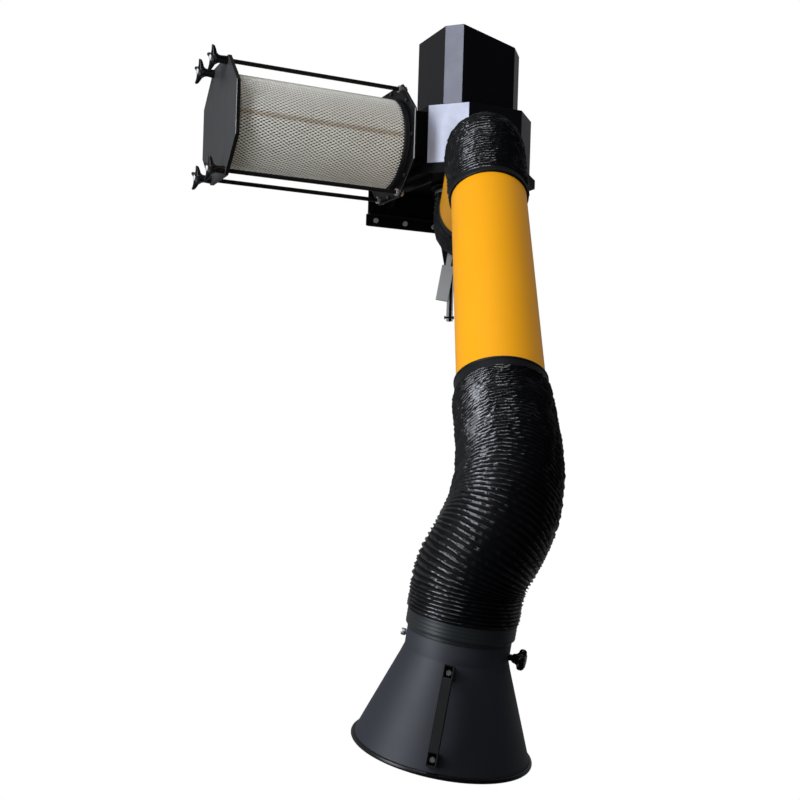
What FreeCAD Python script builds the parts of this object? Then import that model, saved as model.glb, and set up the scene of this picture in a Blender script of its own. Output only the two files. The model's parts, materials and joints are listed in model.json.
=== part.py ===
import FreeCAD
import Part
import Sketcher
import math
import os

# A wall-mounted fume extractor. A wall plate carries a fan with its motor, a filter cartridge that
# hangs out to the left on four rods, and below it a swivelling suction arm of two tubes that ends
# in a hood. Millimetres, +Z up. The wall is the plane Y = 0 and the room is on the -Y side.
# The origin is the middle of the wall plate's back face.

doc = FreeCAD.newDocument("fume_extractor")
sheet = doc.addObject("Spreadsheet::Sheet", "sizes")

driving = {
    # clearances that several pieces share
    "overrun": 2, "rest_gap": 0.3, "run_fit": 0.05, "bolt_fit": 0.2,
    # what a wall of one thickness takes off the leg of a cut corner
    "corner_share": 0.5858,
    # wall plate and the angle along its lower edge
    "plate_width": 434, "plate_height": 328, "plate_thick": 5,
    "wall_hole_span": 390, "wall_hole_rise": 220, "wall_hole_radius": 5.5,
    "rail_width": 448, "rail_height": 34, "rail_depth": 28, "rail_thick": 4,
    "rail_bolt_pitch": 97, "rail_bolt_drop": 17, "rail_bolt_head_radius": 8, "rail_bolt_head": 5,
    "rail_bolt_radius": 4, "rail_bolt_count": 5,
    # two arms that carry the tray
    "arm_place": 153, "arm_thick": 6, "arm_height": 20, "arm_reach": 285, "web_reach": 55,
    "web_height": 69,
    # the fan stands off the wall on the swivel's axis
    "fan_reach": 200, "tray_bottom": 61, "tray_width": 374, "tray_leg": 106, "tray_height": 25,
    "tray_sheet": 3, "tray_mouth_radius": 84, "lip_width": 356, "lip_leg": 95, "lip_thick": 5,
    "fan_width": 332, "fan_leg": 82, "fan_height": 162, "fan_sheet": 2.5, "inlet_radius": 125,
    "shaft_hole_radius": 30,
    # inlet cone
    "cone_flange_radius": 145, "cone_mouth_radius": 112, "cone_throat_radius": 82,
    "cone_height": 38, "cone_sheet": 1.5,
    # wheel, shaft and motor
    "wheel_gap": 4.5, "wheel_radius": 140, "wheel_eye_radius": 88, "wheel_height": 66,
    "wheel_sheet": 2.5, "hub_radius": 24, "hub_height": 34, "blade_count": 9,
    "blade_inner_radius": 70, "blade_angle": 42, "blade_curve": 95, "blade_sheet": 2.5,
    "shaft_radius": 12, "shaft_below_hub": 4, "shaft_above_motor": 5, "motor_radius": 84,
    "motor_room": 60, "motor_foot_radius": 98, "motor_foot": 8, "motor_cap_slope": 12,
    "motor_bore_radius": 40, "bearing_depth": 16,
    # motor housing with its sloping roof
    "hood_box_width": 240, "hood_box_leg": 37.5, "hood_box_height": 228, "hood_box_sheet": 2.5,
    "roof_flat": 38, "roof_fall": 48,
    # outlet and the flange of the filter unit
    "outlet_width": 144, "outlet_height": 122, "outlet_drop": 19, "outlet_reach": 70,
    "filter_rise": 26.7, "octagon_width": 311, "octagon_leg": 87, "flange_thick": 6,
    "flange_bolt_circle": 145, "flange_bolt_radius": 3, "flange_bolt_head_radius": 5.5,
    "flange_bolt_head": 4, "flange_bolt_count": 8, "gasket_inner": 113, "gasket_outer": 126,
    "gasket_thick": 4,
    # rods, nuts and star knobs
    "rod_radius": 6, "rod_side": 62, "rod_height": 142, "rod_tail": 12, "rod_tip": 25,
    "rod_slack": 0.6, "nut_radius": 10.4, "nut_thick": 8, "knob_boss_radius": 11,
    "knob_boss": 12, "knob_radius": 33, "knob_arm_radius": 7.5, "knob_hub_radius": 14,
    "knob_thick": 18, "knob_angle": 12,
    # end plate and cartridge
    "filter_length": 497, "end_rim": 10, "end_sheet": 3, "cap_radius": 127, "cap_thick": 14,
    "rim_thick": 10, "rim_inner": 100, "guard_radius": 125, "guard_sheet": 1.2,
    "pleat_count": 48, "pleat_depth": 24, "pleat_bore": 92,
    # swivel below the tray
    "arm_angle": 25, "tube_radius": 80, "tube_wall": 1.5, "collar_flange_radius": 98,
    "collar_flange": 5, "spigot_drop": 35, "ring_drop": 4, "ring_thick": 5, "ring_radius": 100,
    "hanger_back": 108, "hanger_thick": 5, "hanger_half": 88, "hanger_foot_half": 42,
    "hanger_height": 235,
    # forks, tangs and pins in the tubes
    "pivot_drop": 205, "fork_half": 24.3, "fork_thick": 6, "lug_radius": 17, "spider_half": 15,
    "spider_thick": 12, "tang_thick": 6, "bush_radius": 12, "pin_radius": 6,
    "pin_head_radius": 9.5, "pin_head": 3,
    # spring stay below the hanger
    "stay_side": 31, "stay_drop": 178, "link_width": 12, "link_thick": 4, "link_length": 200,
    "link_space": 20, "stay_pin_radius": 4, "cross_pin_rise": 12, "sleeve_width": 36,
    "sleeve_depth": 19, "sleeve_length": 105, "neck_width": 16, "neck_length": 34,
    "sleeve_angle": 9,
    # tubes of the arm, measured from the pivot before them
    "upper_length": 709.5, "upper_angle": 6.47, "upper_start": 235, "upper_back": 120.5,
    "lower_angle": 47.4, "lower_start": 181, "lower_back": 240, "tang_inset": 6,
    # hoses and their clamps
    "hose_cuff": 24, "hose_bore": 80.3, "hose_root": 84, "hose_crest": 89, "hose_pitch": 27,
    "hose_crest_share": 0.3, "base_bend": 100, "elbow_bend": 120, "clamp_inset": 7,
    "clamp_width": 9, "clamp_sheet": 1.2, "clamp_box_side": 9, "clamp_box_length": 16,
    "hose_lead": 76, "hose_along": 199, "hose_side": 3.5, "hose_rise": 75.5, "hose_forward": 16,
    "hose_over": 71, "hose_up": 98, "hose_run": 73.5, "spigot_clamp_angle": 200,
    # head pivot and head
    "head_pivot_reach": 1029, "head_pivot_rise": 25.4, "head_pivot_side": 5, "stay_rod_radius": 8,
    "yoke_half": 8.3, "yoke_thick": 5, "yoke_radius": 12, "yoke_reach": 42, "head_pin_radius": 5,
    "eye_reach": 28, "head_forward": 95, "head_side": 78, "head_drop": 232, "head_back_angle": 3.6,
    "head_side_angle": 7.4, "head_rod_radius": 6, "head_tube": 72, "head_cover": 23,
    "turn_gap": 0.4, "spigot_lip": 8, "bead_rise": 2.2, "bead_width": 4, "bead_one": 20,
    "bead_two": 35,
    # hood with handle and damper
    "hood_collar": 29, "hood_height": 146, "hood_radius": 136, "hood_sheet": 2, "trim_rise": 8,
    "trim_out": 4, "handle_angle": 9, "handle_pitch": 122, "handle_drop": 14, "handle_width": 16,
    "handle_bar": 10, "handle_gap": 24, "handle_end": 10.5, "handle_wall": 2.5,
    "handle_pocket": 19, "handle_bolt_radius": 3,
    "handle_head_radius": 5.5, "handle_head": 3, "damper_angle": 73, "damper_radius": 70,
    "damper_sheet": 2, "damper_lower": 2, "spindle_radius": 4, "spindle_head_radius": 5.5,
    "spindle_head": 6, "knob_stand": 4, "dial_radius": 15, "dial_hub_radius": 8,
    "dial_arm_radius": 4, "dial_thick": 14, "dial_arm_count": 5,
}


class Size:
    """A formula in the sheet's sizes, kept with the number that it gives."""

    def __init__(self, text, number):
        self.text = text
        self.number = float(number)

    def __float__(self):
        return self.number

    def __add__(self, other):
        return Size("(%s + %s)" % (self.text, word(other)), self.number + float(other))

    def __radd__(self, other):
        return Size("(%s + %s)" % (word(other), self.text), float(other) + self.number)

    def __sub__(self, other):
        return Size("(%s - %s)" % (self.text, word(other)), self.number - float(other))

    def __rsub__(self, other):
        return Size("(%s - %s)" % (word(other), self.text), float(other) - self.number)

    def __mul__(self, other):
        return Size("(%s * %s)" % (self.text, word(other)), self.number * float(other))

    def __rmul__(self, other):
        return self * other

    def __truediv__(self, other):
        return Size("(%s / %s)" % (self.text, word(other)), self.number / float(other))

    def __neg__(self):
        return 0 - self


def word(value):
    return value.text if isinstance(value, Size) else repr(value)


class Sheet:
    """The driving sizes by name."""


s = Sheet()
for row, (alias, number) in enumerate(driving.items(), 1):
    sheet.set("A%d" % row, alias)
    sheet.set("B%d" % row, str(number))
    sheet.setAlias("B%d" % row, alias)
    setattr(s, alias, Size("sizes." + alias, number))
doc.recompute()

NODES = []
X_AXIS = FreeCAD.Vector(1, 0, 0)
Y_AXIS = FreeCAD.Vector(0, 1, 0)
Z_AXIS = FreeCAD.Vector(0, 0, 1)


def at(x=0, y=0, z=0, axis=Z_AXIS, angle=0):
    """A place in millimetres with a turn in degrees about an axis."""
    turn = FreeCAD.Rotation(axis, float(angle))
    return FreeCAD.Placement(FreeCAD.Vector(float(x), float(y), float(z)), turn)


def along_x(x=0, y=0, z=0):
    """A place whose own Z runs along +X."""
    return at(x, y, z, Y_AXIS, 90)


def along_y(x=0, y=0, z=0):
    """A place whose own Z runs along +Y."""
    return at(x, y, z, X_AXIS, -90)


def primitive(kind, name, place, **sizes):
    """A primitive whose sizes are bound to the sheet."""
    item = doc.addObject("Part::" + kind, name)
    for key, value in sizes.items():
        item.setExpression(key, word(value))
    item.Placement = place
    return item


def rod(name, place, radius, length):
    return primitive("Cylinder", name, place, Radius=radius, Height=length)


def block(name, place, low, high):
    """A box between two corners that are given in the place's own frame."""
    span = [b - a for a, b in zip(low, high)]
    return primitive("Box", name, place * at(*low), Length=span[0], Width=span[1], Height=span[2])


def fuse(name, *items):
    item = doc.addObject("Part::MultiFuse", name)
    item.Shapes = list(items)
    return item


def common(name, *items):
    item = doc.addObject("Part::MultiCommon", name)
    item.Shapes = list(items)
    return item


def cut(name, base, *tools):
    item = doc.addObject("Part::Cut", name)
    item.Base = base
    item.Tool = tools[0] if len(tools) == 1 else fuse(name + "_tools", *tools)
    return item


def group(name, *items):
    """Like pieces that share one node and stay separate solids."""
    item = doc.addObject("Part::Compound", name)
    item.Links = list(items)
    return item


def node(item):
    """Count an object as a finished sub-part under its own label."""
    NODES.append(item)
    return item


def pin_to_axes(sketch, geometry, end, point):
    """Fix one end of a piece of a sketch at coordinates that follow the sheet."""
    for kind, axis, value in (("DistanceX", -2, point[0]), ("DistanceY", -1, point[1])):
        if not isinstance(value, Size):
            sketch.addConstraint(Sketcher.Constraint("PointOnObject", geometry, end, axis))
            continue
        rule = Sketcher.Constraint(kind, -1, 1, geometry, end, float(value))
        index = sketch.addConstraint(rule)
        sketch.setExpression("Constraints[%d]" % index, word(value))


def draw(body, name, role, outline, circles=()):
    """A closed outline and holes on one of the body's own planes.

    A corner is (x, y), or (x, y, radius) where an arc runs on to the next corner. A radius is
    positive for an arc that turns to the left, and negative for one that turns to the right.
    """
    sketch = body.newObject("Sketcher::SketchObject", name)
    plane = [item for item in body.Origin.OriginFeatures if item.Role == role][0]
    sketch.AttachmentSupport = (plane, [""])
    sketch.MapMode = "FlatFace"
    points = [FreeCAD.Vector(float(corner[0]), float(corner[1]), 0) for corner in outline]
    ends = []
    for index, corner in enumerate(outline):
        here, there = points[index], points[(index + 1) % len(points)]
        if len(corner) == 2:
            sketch.addGeometry(Part.LineSegment(here, there), False)
            ends.append((1, 2))
            continue
        radius = float(corner[2])
        half = (there - here) / 2
        side = FreeCAD.Vector(-half.y, half.x, 0).normalize()
        height = abs(radius) - math.sqrt(radius ** 2 - half.Length ** 2)
        middle = here + half - side * math.copysign(height, radius)
        arc = Part.Arc(here, middle, there)
        sketch.addGeometry(arc, False)
        ends.append((1, 2) if radius > 0 else (2, 1))
        rule = sketch.addConstraint(Sketcher.Constraint("Radius", index, abs(radius)))
        size = corner[2] if radius > 0 else -corner[2]
        sketch.setExpression("Constraints[%d]" % rule, word(size))
    for index, corner in enumerate(outline):
        after = (index + 1) % len(points)
        tie = Sketcher.Constraint("Coincident", index, ends[index][1], after, ends[after][0])
        sketch.addConstraint(tie)
        pin_to_axes(sketch, index, ends[index][0], corner)
    for x, y, radius in circles:
        centre = FreeCAD.Vector(float(x), float(y), 0)
        ring = sketch.addGeometry(Part.Circle(centre, Z_AXIS, float(radius)), False)
        pin_to_axes(sketch, ring, 3, (x, y))
        rule = sketch.addConstraint(Sketcher.Constraint("Radius", ring, float(radius)))
        sketch.setExpression("Constraints[%d]" % rule, word(radius))
    return sketch


def plate(name, role, outline, depth, place=None, circles=()):
    """A flat piece: an outline and its holes, made as thick as it is."""
    body = doc.addObject("PartDesign::Body", name)
    pad = body.newObject("PartDesign::Pad", name + "_pad")
    pad.Profile = draw(body, name + "_outline", role, outline, circles)
    pad.setExpression("Length", word(depth))
    if place is not None:
        body.Placement = place
    return body


def turned(name, outline, place=None):
    """A turned piece: a section of radius and height about the body's own Z."""
    body = doc.addObject("PartDesign::Body", name)
    turn = body.newObject("PartDesign::Revolution", name + "_turn")
    section = draw(body, name + "_section", "XZ_Plane", outline)
    turn.Profile = section
    turn.ReferenceAxis = (section, ["V_Axis"])
    turn.Angle = 360
    if place is not None:
        body.Placement = place
    return body


def rectangle(width, height):
    w = width / 2
    h = height / 2
    return [(-w, -h), (w, -h), (w, h), (-w, h)]


def octagon(width, leg):
    """A square with its corners cut off."""
    w = width / 2
    c = w - leg
    return [(c, -w), (w, -c), (w, c), (c, w), (-c, w), (-w, c), (-w, -c), (-c, -w)]


def tube(name, place, outer, wall, length):
    """A plain round tube along the place's own Z."""
    return turned(name, [(outer - wall, 0), (outer, 0), (outer, length), (outer - wall, length)], place)


# frames: the fan's axis, the filter's axis, and each pivot of the arm
fan = at(0, -s.fan_reach, 0)
swivel = at(0, -s.fan_reach, 0, Z_AXIS, -(90 + float(s.arm_angle)))
shoulder = swivel * at(0, 0, -s.pivot_drop)
upper = shoulder * at(0, 0, 0, Y_AXIS, -s.upper_angle)
elbow = upper * at(s.upper_length, 0, 0)
lower = elbow * at(0, 0, 0, Y_AXIS, s.lower_angle + s.upper_angle)
head_pivot = lower * at(s.head_pivot_reach, -s.head_pivot_side, s.head_pivot_rise)
level_head = head_pivot * at(0, 0, 0, Y_AXIS, -s.lower_angle)
hood = (level_head * at(s.head_forward, -s.head_side, -s.head_drop)
        * at(0, 0, 0, Y_AXIS, s.head_back_angle) * at(0, 0, 0, X_AXIS, -s.head_side_angle))

tray_top = s.tray_height - s.tray_bottom
fan_bottom = tray_top + s.lip_thick
fan_top = fan_bottom + s.fan_height
flange_face = s.fan_width / 2 + s.outlet_reach + s.flange_thick
filter_end = flange_face + s.filter_length

# wall plate: a sheet with four wall holes, and holes for the bolts of the angle
half_rail = (s.rail_bolt_count - 1) / 2
rail_places = [s.rail_bolt_pitch * i - s.rail_bolt_pitch * half_rail
               for i in range(int(float(s.rail_bolt_count)))]
bolt_level = s.rail_bolt_drop - s.plate_height / 2
holes = [(x * s.wall_hole_span / 2, z * s.wall_hole_rise / 2, s.wall_hole_radius)
         for x in (-1, 1) for z in (-1, 1)]
holes += [(x, bolt_level, s.rail_bolt_radius + s.bolt_fit) for x in rail_places]
node(plate("wall_plate", "XZ_Plane", rectangle(s.plate_width, s.plate_height), s.plate_thick,
           None, holes))

# angle along the lower edge of the plate, with its bolts
rail_low = -s.plate_height / 2
rail_top = rail_low + s.rail_height
front = -s.plate_thick
rail_section = [(front, rail_low), (front, rail_top), (front - s.rail_depth, rail_top),
                (front - s.rail_depth, rail_top - s.rail_thick),
                (front - s.rail_thick, rail_top - s.rail_thick), (front - s.rail_thick, rail_low)]
angle_bar = plate("angle_bar", "YZ_Plane", rail_section, s.rail_width, at(-s.rail_width / 2))
drills = [rod("rail_drill_%d" % i, along_y(x, -s.plate_thick - s.rail_thick - s.overrun, bolt_level),
              s.rail_bolt_radius + s.bolt_fit, s.rail_thick + 2 * s.overrun)
          for i, x in enumerate(rail_places)]
node(cut("plate_rail", angle_bar, *drills))
bolts = []
for i, x in enumerate(rail_places):
    face = front - s.rail_thick
    shank = rod("rail_shank_%d" % i, along_y(x, face, bolt_level), s.rail_bolt_radius, -face)
    head = primitive("Prism", "rail_head_%d" % i, along_y(x, face - s.rail_bolt_head, bolt_level),
                     Circumradius=s.rail_bolt_head_radius, Height=s.rail_bolt_head)
    head.Polygon = 6
    bolts.append(fuse("rail_bolt_%d" % i, shank, head))
node(group("rail_bolts", *bolts))

# two arms from the plate that carry the tray, each a bar with a web at the wall
arm_top = -s.tray_bottom
arm_outline = [(front, arm_top), (front - s.arm_reach, arm_top),
               (front - s.arm_reach, arm_top - s.arm_height),
               (front - s.web_reach, arm_top - s.arm_height), (front, arm_top - s.web_height)]
arms = [plate("support_arm_%d" % i, "YZ_Plane", arm_outline, s.arm_thick,
              at(side * s.arm_place - s.arm_thick / 2))
        for i, side in enumerate((-1, 1))]
node(group("support_arms", *arms))

# tray: a flat octagonal dish that holds the swivel
tray_inner = s.tray_width - 2 * s.tray_sheet
tray_inner_leg = s.tray_leg - s.tray_sheet * s.corner_share
tray_body = plate("tray_block", "XY_Plane", octagon(s.tray_width, s.tray_leg), s.tray_height,
                  fan * at(0, 0, -s.tray_bottom))
tray_room = plate("tray_room", "XY_Plane", octagon(tray_inner, tray_inner_leg),
                  s.tray_height - 2 * s.tray_sheet, fan * at(0, 0, s.tray_sheet - s.tray_bottom))
tray_mouth = rod("tray_mouth", fan * at(0, 0, -s.tray_bottom - s.overrun), s.tray_mouth_radius,
                 s.tray_sheet + 2 * s.overrun)
tray_throat = rod("tray_throat", fan * at(0, 0, tray_top - s.tray_sheet - s.overrun), s.inlet_radius,
                  s.tray_sheet + 2 * s.overrun)
node(cut("base_tray", tray_body, tray_room, tray_mouth, tray_throat))
node(tube("slip_ring", fan * at(0, 0, -s.tray_bottom), s.tray_mouth_radius,
          s.tray_mouth_radius - s.tube_radius - s.run_fit, s.tray_sheet))
node(plate("base_lip", "XY_Plane", octagon(s.lip_width, s.lip_leg), s.lip_thick,
           fan * at(0, 0, tray_top), [(0, 0, s.inlet_radius)]))

# fan housing: a box of folded sheet, open to the tray below and to the outlet on its left
fan_inner = s.fan_width - 2 * s.fan_sheet
fan_inner_leg = s.fan_leg - s.fan_sheet * s.corner_share
fan_body = plate("fan_block", "XY_Plane", octagon(s.fan_width, s.fan_leg), s.fan_height,
                 fan * at(0, 0, fan_bottom))
fan_room = plate("fan_room", "XY_Plane", octagon(fan_inner, fan_inner_leg),
                 s.fan_height - 2 * s.fan_sheet, fan * at(0, 0, fan_bottom + s.fan_sheet))
fan_mouth = rod("fan_mouth", fan * at(0, 0, fan_bottom - s.overrun), s.inlet_radius,
                s.fan_sheet + 2 * s.overrun)
fan_hole = rod("fan_hole", fan * at(0, 0, fan_top - s.fan_sheet - s.overrun), s.shaft_hole_radius,
               s.fan_sheet + 2 * s.overrun)
outlet_top = fan_top - s.outlet_drop
outlet_low = outlet_top - s.outlet_height
outlet_half = s.outlet_width / 2
fan_side = -s.fan_width / 2
fan_gate = block("fan_gate", fan, (fan_side - s.overrun, -outlet_half, outlet_low),
                 (fan_side + s.fan_sheet + s.overrun, outlet_half, outlet_top))
node(cut("fan_housing", fan_body, fan_room, fan_mouth, fan_hole, fan_gate))

# inlet cone: a spun ring on the floor of the housing that leads the air into the wheel
throat = s.cone_throat_radius
node(turned("inlet_cone", [
    (throat, s.cone_height), (s.cone_mouth_radius, 0), (s.cone_flange_radius, 0),
    (s.cone_flange_radius, s.cone_sheet), (s.cone_mouth_radius + s.cone_sheet, s.cone_sheet),
    (throat + s.cone_sheet, s.cone_height)], fan * at(0, 0, fan_bottom + s.fan_sheet)))

# duct from the housing to the flange of the filter unit
duct_wall = s.fan_sheet
duct_outer = block("duct_outer", fan,
                   (fan_side - s.outlet_reach, -outlet_half - duct_wall, outlet_low - duct_wall),
                   (fan_side, outlet_half + duct_wall, outlet_top + duct_wall))
duct_inner = block("duct_inner", fan, (fan_side - s.outlet_reach - s.overrun, -outlet_half, outlet_low),
                   (fan_side + s.overrun, outlet_half, outlet_top))
node(cut("outlet_duct", duct_outer, duct_inner))

# motor housing: an octagonal cover, open below, whose roof falls to the right
box_half = s.hood_box_width / 2
sheet_in = s.hood_box_sheet
cover_outer = plate("cover_outer", "XY_Plane", octagon(s.hood_box_width, s.hood_box_leg),
                    s.hood_box_height, fan * at(0, 0, fan_top))
cover_inner = plate("cover_inner", "XY_Plane",
                    octagon(s.hood_box_width - 2 * sheet_in, s.hood_box_leg - sheet_in * s.corner_share),
                    s.hood_box_height + s.overrun, fan * at(0, 0, fan_top - s.overrun))


def roof(name, drop):
    """Everything below the roof, or below its inside when it is lowered by the sheet."""
    wide = box_half + s.overrun
    top = s.hood_box_height - drop
    outline = [(-wide, -s.overrun), (wide, -s.overrun), (wide, top - s.roof_fall),
               (s.roof_flat - box_half, top), (-wide, top)]
    return plate(name, "XZ_Plane", outline, 2 * wide, fan * at(0, wide, fan_top))


outer_shell = common("cover_shell", cover_outer, roof("roof_outer", 0))
inner_shell = common("cover_space", cover_inner, roof("roof_inner", s.hood_box_sheet))
node(cut("motor_housing", outer_shell, inner_shell))

# motor: a round body on a foot ring, with a bearing at each end
bearing = s.shaft_radius + s.run_fit
motor_end = s.hood_box_height - s.motor_room
node(turned("motor_body", [
    (bearing, 0), (s.motor_foot_radius, 0), (s.motor_foot_radius, s.motor_foot),
    (s.motor_radius, s.motor_foot), (s.motor_radius, motor_end - s.motor_cap_slope),
    (s.motor_radius - s.motor_cap_slope, motor_end), (bearing, motor_end),
    (bearing, motor_end - s.bearing_depth), (s.motor_bore_radius, motor_end - s.bearing_depth),
    (s.motor_bore_radius, s.bearing_depth), (bearing, s.bearing_depth)], fan * at(0, 0, fan_top)))

# wheel: a back plate with its hub, a ring with the eye, and curved blades between them
wheel_low = fan_bottom + s.fan_sheet + s.cone_height + s.wheel_gap
wheel = doc.addObject("PartDesign::Body", "impeller")


def revolve_in(body, name, outline):
    turn = body.newObject("PartDesign::Revolution", name)
    section = draw(body, name + "_section", "XZ_Plane", outline)
    turn.Profile = section
    turn.ReferenceAxis = (section, ["V_Axis"])
    turn.Angle = 360
    return turn


shaft_bore = s.shaft_radius
back = s.wheel_height - s.wheel_sheet
hub_low = s.wheel_height - s.hub_height
revolve_in(wheel, "back_plate", [
    (shaft_bore, hub_low), (s.hub_radius, hub_low), (s.hub_radius, back), (s.wheel_radius, back),
    (s.wheel_radius, s.wheel_height), (shaft_bore, s.wheel_height)])
lean = math.radians(float(s.blade_angle))
lean_cos = math.cos(lean)
lean_sin = math.sin(lean)
inner_end = s.blade_inner_radius
outer_end = s.wheel_radius - s.blade_sheet
blade = wheel.newObject("PartDesign::Pad", "blade")
blade.Profile = draw(wheel, "blade_section", "XY_Plane", [
    (inner_end, 0, s.blade_curve), (outer_end * lean_cos, outer_end * lean_sin),
    (outer_end * lean_cos - s.blade_sheet * lean_sin, outer_end * lean_sin + s.blade_sheet * lean_cos,
     -(s.blade_curve - s.blade_sheet)), (inner_end, s.blade_sheet)])
blade.setExpression("Length", word(s.wheel_height - s.wheel_sheet / 2))
doc.recompute()
blades = wheel.newObject("PartDesign::PolarPattern", "blades")
blades.Originals = [blade]
blades.Axis = ([item for item in wheel.Origin.OriginFeatures if item.Role == "Z_Axis"][0], [""])
blades.Angle = 360
blades.setExpression("Occurrences", word(s.blade_count))
wheel.Tip = blades
doc.recompute()
revolve_in(wheel, "eye_ring", [
    (s.wheel_eye_radius, 0), (s.wheel_radius, 0), (s.wheel_radius, s.wheel_sheet),
    (s.wheel_eye_radius, s.wheel_sheet)])
wheel.Placement = fan * at(0, 0, wheel_low)
node(wheel)
shaft_low = wheel_low + hub_low - s.shaft_below_hub
shaft_top = fan_top + motor_end + s.shaft_above_motor
node(rod("rotor_shaft", fan * at(0, 0, shaft_low), s.shaft_radius, shaft_top - shaft_low))

# flange of the filter unit, with its bolts and the gasket that the cartridge seals on
filter_axis = fan * at(0, 0, s.filter_rise)
rod_places = [(y * s.rod_side, z * s.rod_height) for y in (-1, 1) for z in (-1, 1)]
bolt_places = []
for i in range(int(float(s.flange_bolt_count))):
    angle = 2 * math.pi * i / float(s.flange_bolt_count)
    bolt_places.append((s.flange_bolt_circle * math.cos(angle), s.flange_bolt_circle * math.sin(angle)))
flange_sheet = plate("flange_sheet", "YZ_Plane", octagon(s.octagon_width, s.octagon_leg), s.flange_thick,
                     filter_axis * at(-flange_face), [(y, z, s.rod_radius) for y, z in rod_places]
                     + [(y, z, s.flange_bolt_radius) for y, z in bolt_places])
flange_gate = block("flange_gate", fan, (-flange_face - s.overrun, -outlet_half, outlet_low),
                    (-flange_face + s.flange_thick + s.overrun, outlet_half, outlet_top))
node(cut("filter_flange", flange_sheet, flange_gate))
bolts = []
for i, (y, z) in enumerate(bolt_places):
    shank = rod("flange_shank_%d" % i, filter_axis * along_x(-flange_face, y, z), s.flange_bolt_radius,
                s.flange_thick)
    head = primitive("Prism", "flange_head_%d" % i,
                     filter_axis * along_x(-flange_face - s.flange_bolt_head, y, z),
                     Circumradius=s.flange_bolt_head_radius, Height=s.flange_bolt_head)
    head.Polygon = 6
    bolts.append(fuse("flange_bolt_%d" % i, shank, head))
node(group("flange_bolts", *bolts))
node(tube("filter_gasket", filter_axis * along_x(-flange_face - s.gasket_thick), s.gasket_outer,
          s.gasket_outer - s.gasket_inner, s.gasket_thick))

# four rods with a nut on each side of the flange
rods = []
nuts = []
rod_end = filter_end + s.rod_tip
rod_start = flange_face - s.flange_thick - s.rod_tail
for i, (y, z) in enumerate(rod_places):
    rods.append(rod("tie_rod_%d" % i, filter_axis * along_x(-rod_end, y, z), s.rod_radius,
                    rod_end - rod_start))
    for j, x in enumerate((-flange_face - s.nut_thick, -flange_face + s.flange_thick)):
        name = "rod_nut_%d_%d" % (i, j)
        hexagon = primitive("Prism", name + "_block", filter_axis * along_x(x, y, z),
                            Circumradius=s.nut_radius, Height=s.nut_thick)
        hexagon.Polygon = 6
        bore = rod(name + "_bore", filter_axis * along_x(x - s.overrun, y, z), s.rod_radius,
                   s.nut_thick + 2 * s.overrun)
        nuts.append(cut(name, hexagon, bore))
node(group("tie_rods", *rods))
node(group("rod_nuts", *nuts))

# end plate: an octagonal dish whose rim points to the fan, and slides along the rods
end_outer = plate("end_outer", "YZ_Plane", octagon(s.octagon_width, s.octagon_leg), s.end_rim,
                  filter_axis * at(-filter_end),
                  [(y, z, s.rod_radius + s.rod_slack) for y, z in rod_places])
end_inner = plate("end_inner", "YZ_Plane",
                  octagon(s.octagon_width - 2 * s.end_sheet, s.octagon_leg - s.end_sheet * s.corner_share),
                  s.end_rim, filter_axis * at(s.end_sheet - filter_end))
node(cut("end_plate", end_outer, end_inner))

# cartridge: an end cap, a rim, a pleated sleeve and the guard round it
cap_start = s.end_sheet - filter_end
pleat_start = cap_start + s.cap_thick
rim_end = -flange_face - s.gasket_thick - s.rest_gap
pleat_end = rim_end - s.rim_thick
pleat_length = pleat_end - pleat_start
node(rod("cartridge_cap", filter_axis * along_x(cap_start), s.cap_radius, s.cap_thick))
node(tube("cartridge_rim", filter_axis * along_x(pleat_end), s.cap_radius, s.cap_radius - s.rim_inner,
          s.rim_thick))
node(tube("guard_mesh", filter_axis * along_x(pleat_start), s.guard_radius, s.guard_sheet, pleat_length))
crest = float(s.guard_radius - s.guard_sheet - s.rest_gap)
valley = crest - float(s.pleat_depth)
folds = int(float(s.pleat_count))
zigzag = []
for i in range(2 * folds):
    angle = math.pi * i / folds
    reach = crest if i % 2 else valley
    zigzag.append(FreeCAD.Vector(reach * math.cos(angle), reach * math.sin(angle), 0))
pleat_edge = Part.makePolygon(zigzag + [zigzag[0]])
folded = doc.addObject("Part::Feature", "folded_sleeve")
folded.Shape = Part.Face(pleat_edge).extrude(FreeCAD.Vector(0, 0, float(pleat_length)))
folded.Placement = filter_axis * along_x(pleat_start)
node(cut("filter_pleats", folded, rod("pleat_room", filter_axis * along_x(pleat_start - s.overrun),
                                      s.pleat_bore, pleat_length + 2 * s.overrun)))


def star(name, place, hub, boss, boss_length, reach, arm, thick, bore):
    """A four-armed knob on a boss, its bore along the place's own Z."""
    parts = [rod(name + "_boss", place, boss, boss_length),
             rod(name + "_hub", place * at(0, 0, boss_length), hub, thick)]
    for i in range(4):
        turn = place * at(0, 0, boss_length, Z_AXIS, 90 * i)
        parts.append(block("%s_arm_%d" % (name, i), turn, (0, -arm, 0), (reach - arm, arm, thick)))
        parts.append(rod("%s_tip_%d" % (name, i), turn * at(reach - arm), arm, thick))
    drill = rod(name + "_drill", place * at(0, 0, -s.overrun), bore, boss_length + thick + 2 * s.overrun)
    return cut(name, fuse(name + "_solid", *parts), drill)


# four star knobs that clamp the end plate
for title, (y, z) in zip(("front_lower", "front_upper", "back_lower", "back_upper"), rod_places):
    knob_place = (filter_axis * at(-filter_end - s.rest_gap, y, z, Y_AXIS, -90)
                  * at(0, 0, 0, Z_AXIS, s.knob_angle))
    node(star("star_knob_" + title, knob_place, s.knob_hub_radius, s.knob_boss_radius, s.knob_boss,
              s.knob_radius, s.knob_arm_radius, s.knob_thick, s.rod_radius + s.run_fit))

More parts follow.
